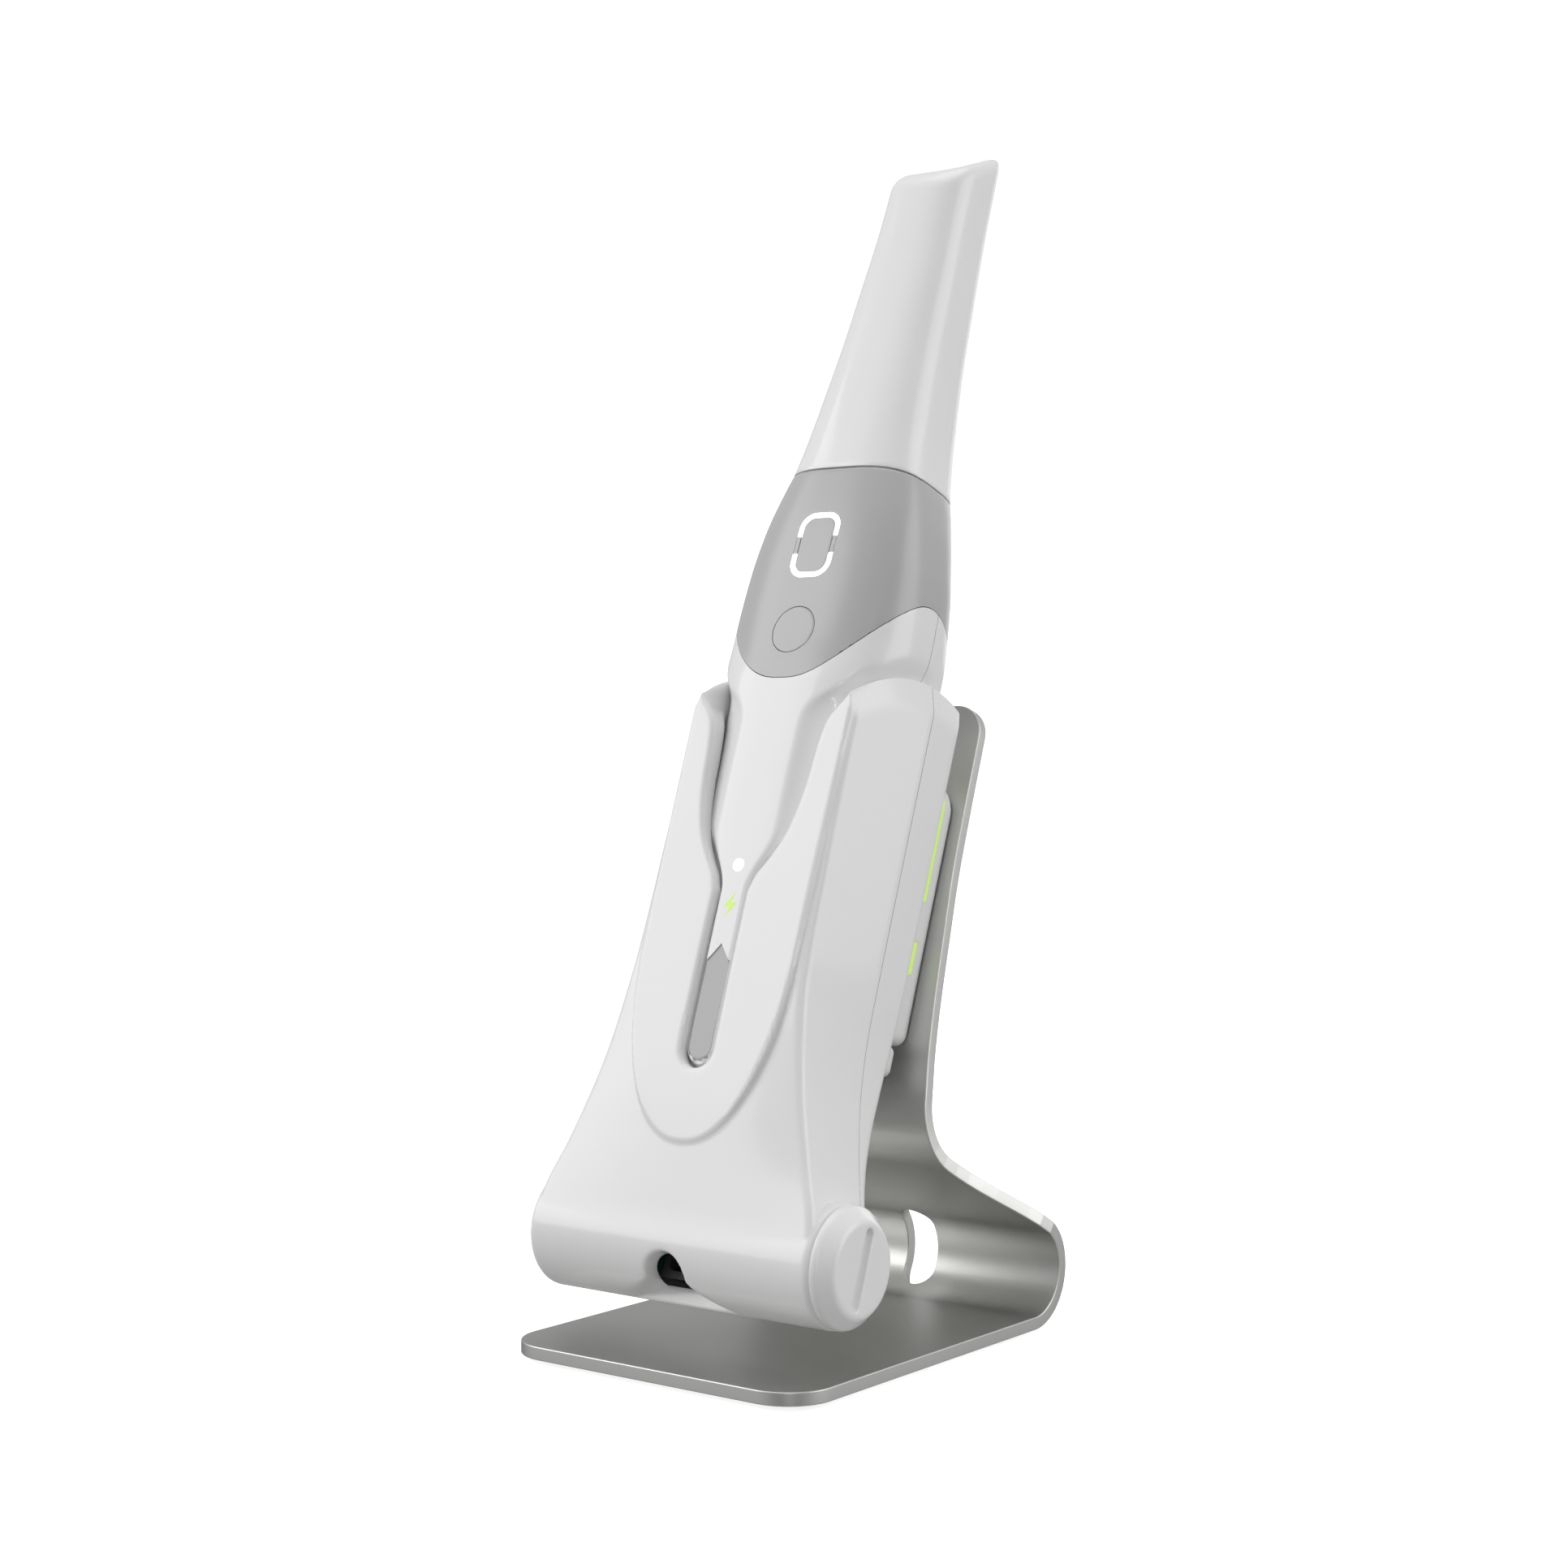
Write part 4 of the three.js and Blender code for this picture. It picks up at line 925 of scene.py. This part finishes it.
def panel(name, place, width, tall, power, target=(0, 0, 0.13)):
    """A softbox that faces the object."""
    data = bpy.data.lights.new(name, "AREA")
    data.shape = "RECTANGLE"
    data.size, data.size_y, data.energy = width, tall, power
    lamp = bpy.data.objects.new(name, data)
    lamp.location = place
    lamp.rotation_euler = (Vector(target) - Vector(place)).to_track_quat("-Z", "Y").to_euler()
    bpy.context.scene.collection.objects.link(lamp)


VIEW_TURN, VIEW_PITCH = math.radians(37.28), math.radians(1.44)
VIEW_PLACE = Vector((MIDDLE_X, PLATE_LOW.y, PLATE_LOW.z)) + Vector((0.3606, -0.4242, 0.1410))
LENS = 60.45


def build_stage():
    """A pale floor and backdrop that only the camera sees, under soft studio light."""
    for name, strength in (("floor", 0.75), ("backdrop", 1.1)):
        glow = {"glow": (1, 1, 1), "Emission Strength": strength}
        material(name, (0.80, 0.80, 0.80), 0.9, spread=0.01, **glow)
    corners = [(-6, -4, 0), (6, -4, 0), (6, 5, 0), (-6, 5, 0)]
    wall = [(-6, 1.1, 0), (3.2, 5, 0), (3.2, 5, 4), (-6, 1.1, 4)]
    for name, points in (("floor", corners), ("backdrop", wall)):
        mesh = bpy.data.meshes.new(name)
        mesh.from_pydata(points, [], [(0, 1, 2, 3)])
        mesh.materials.append(MATERIALS[name])
        sheet = bpy.data.objects.new(name, mesh)
        bpy.context.scene.collection.objects.link(sheet)
        sheet.visible_diffuse = sheet.visible_glossy = False

    build_sky()
    bpy.context.scene.view_settings.view_transform = "Standard"
    panel("key", (-1.2, -1.05, 0.85), 1.2, 1.3, 12)
    panel("top", (-0.1, 0.1, 1.5), 1.0, 1.0, 3.5)
    panel("back", (-0.4, 1.4, 0.45), 1.2, 0.7, 2)
    panel("side", (1.5, 0.75, 0.65), 1.2, 1.4, 9)
    panel("edge", (0.82, -1.0, 0.35), 0.035, 1.2, 2.4)


def build_sky():
    """Soft light from above and all round, less from below, and least from behind the viewer."""
    world = bpy.data.worlds.new("studio")
    world.use_nodes = True
    tree = world.node_tree
    where = tree.nodes.new("ShaderNodeTexCoord")
    height = tree.nodes.new("ShaderNodeSeparateXYZ")
    tree.links.new(where.outputs["Generated"], height.inputs["Vector"])
    rise = tree.nodes.new("ShaderNodeValToRGB")
    stops = ((0.0, 0.36), (0.47, 0.44), (0.53, 0.5), (0.75, 0.61), (1.0, 0.6))
    while len(rise.color_ramp.elements) < len(stops):
        rise.color_ramp.elements.new(0.5)
    for element, (position, value) in zip(rise.color_ramp.elements, stops):
        element.position, element.color = position, (value, value, value, 1)
    scale = tree.nodes.new("ShaderNodeMapRange")
    scale.inputs["From Min"].default_value = -1
    tree.links.new(height.outputs["Z"], scale.inputs["Value"])
    tree.links.new(scale.outputs["Result"], rise.inputs["Fac"])
    turned = tree.nodes.new("ShaderNodeMapping")
    turned.inputs["Rotation"].default_value = (0, 0, math.pi / 2 - VIEW_TURN)
    tree.links.new(where.outputs["Generated"], turned.inputs["Vector"])
    toward = tree.nodes.new("ShaderNodeSeparateXYZ")
    tree.links.new(turned.outputs["Vector"], toward.inputs["Vector"])
    dim = tree.nodes.new("ShaderNodeMapRange")
    dim.interpolation_type = "SMOOTHSTEP"
    dim.inputs["From Min"].default_value = 0.55
    dim.inputs["To Min"].default_value = 1.0
    dim.inputs["To Max"].default_value = 0.35
    tree.links.new(toward.outputs["X"], dim.inputs["Value"])
    sky = tree.nodes["Background"]
    tree.links.new(rise.outputs["Color"], sky.inputs["Color"])
    tree.links.new(dim.outputs["Result"], sky.inputs["Strength"])
    bpy.context.scene.world = world


def build_camera():
    """The viewing direction: 37 degrees round to the right, just above level."""
    level = Vector((math.sin(VIEW_TURN), -math.cos(VIEW_TURN), 0))
    back = level * math.cos(VIEW_PITCH) + Vector((0, 0, math.sin(VIEW_PITCH)))
    data = bpy.data.cameras.new("camera")
    data.lens = LENS
    camera = bpy.data.objects.new("camera", data)
    camera.location = VIEW_PLACE
    camera.rotation_euler = (-back).to_track_quat("-Z", "Y").to_euler()
    bpy.context.scene.collection.objects.link(camera)
    bpy.context.scene.camera = camera


build_stage()
build_camera()
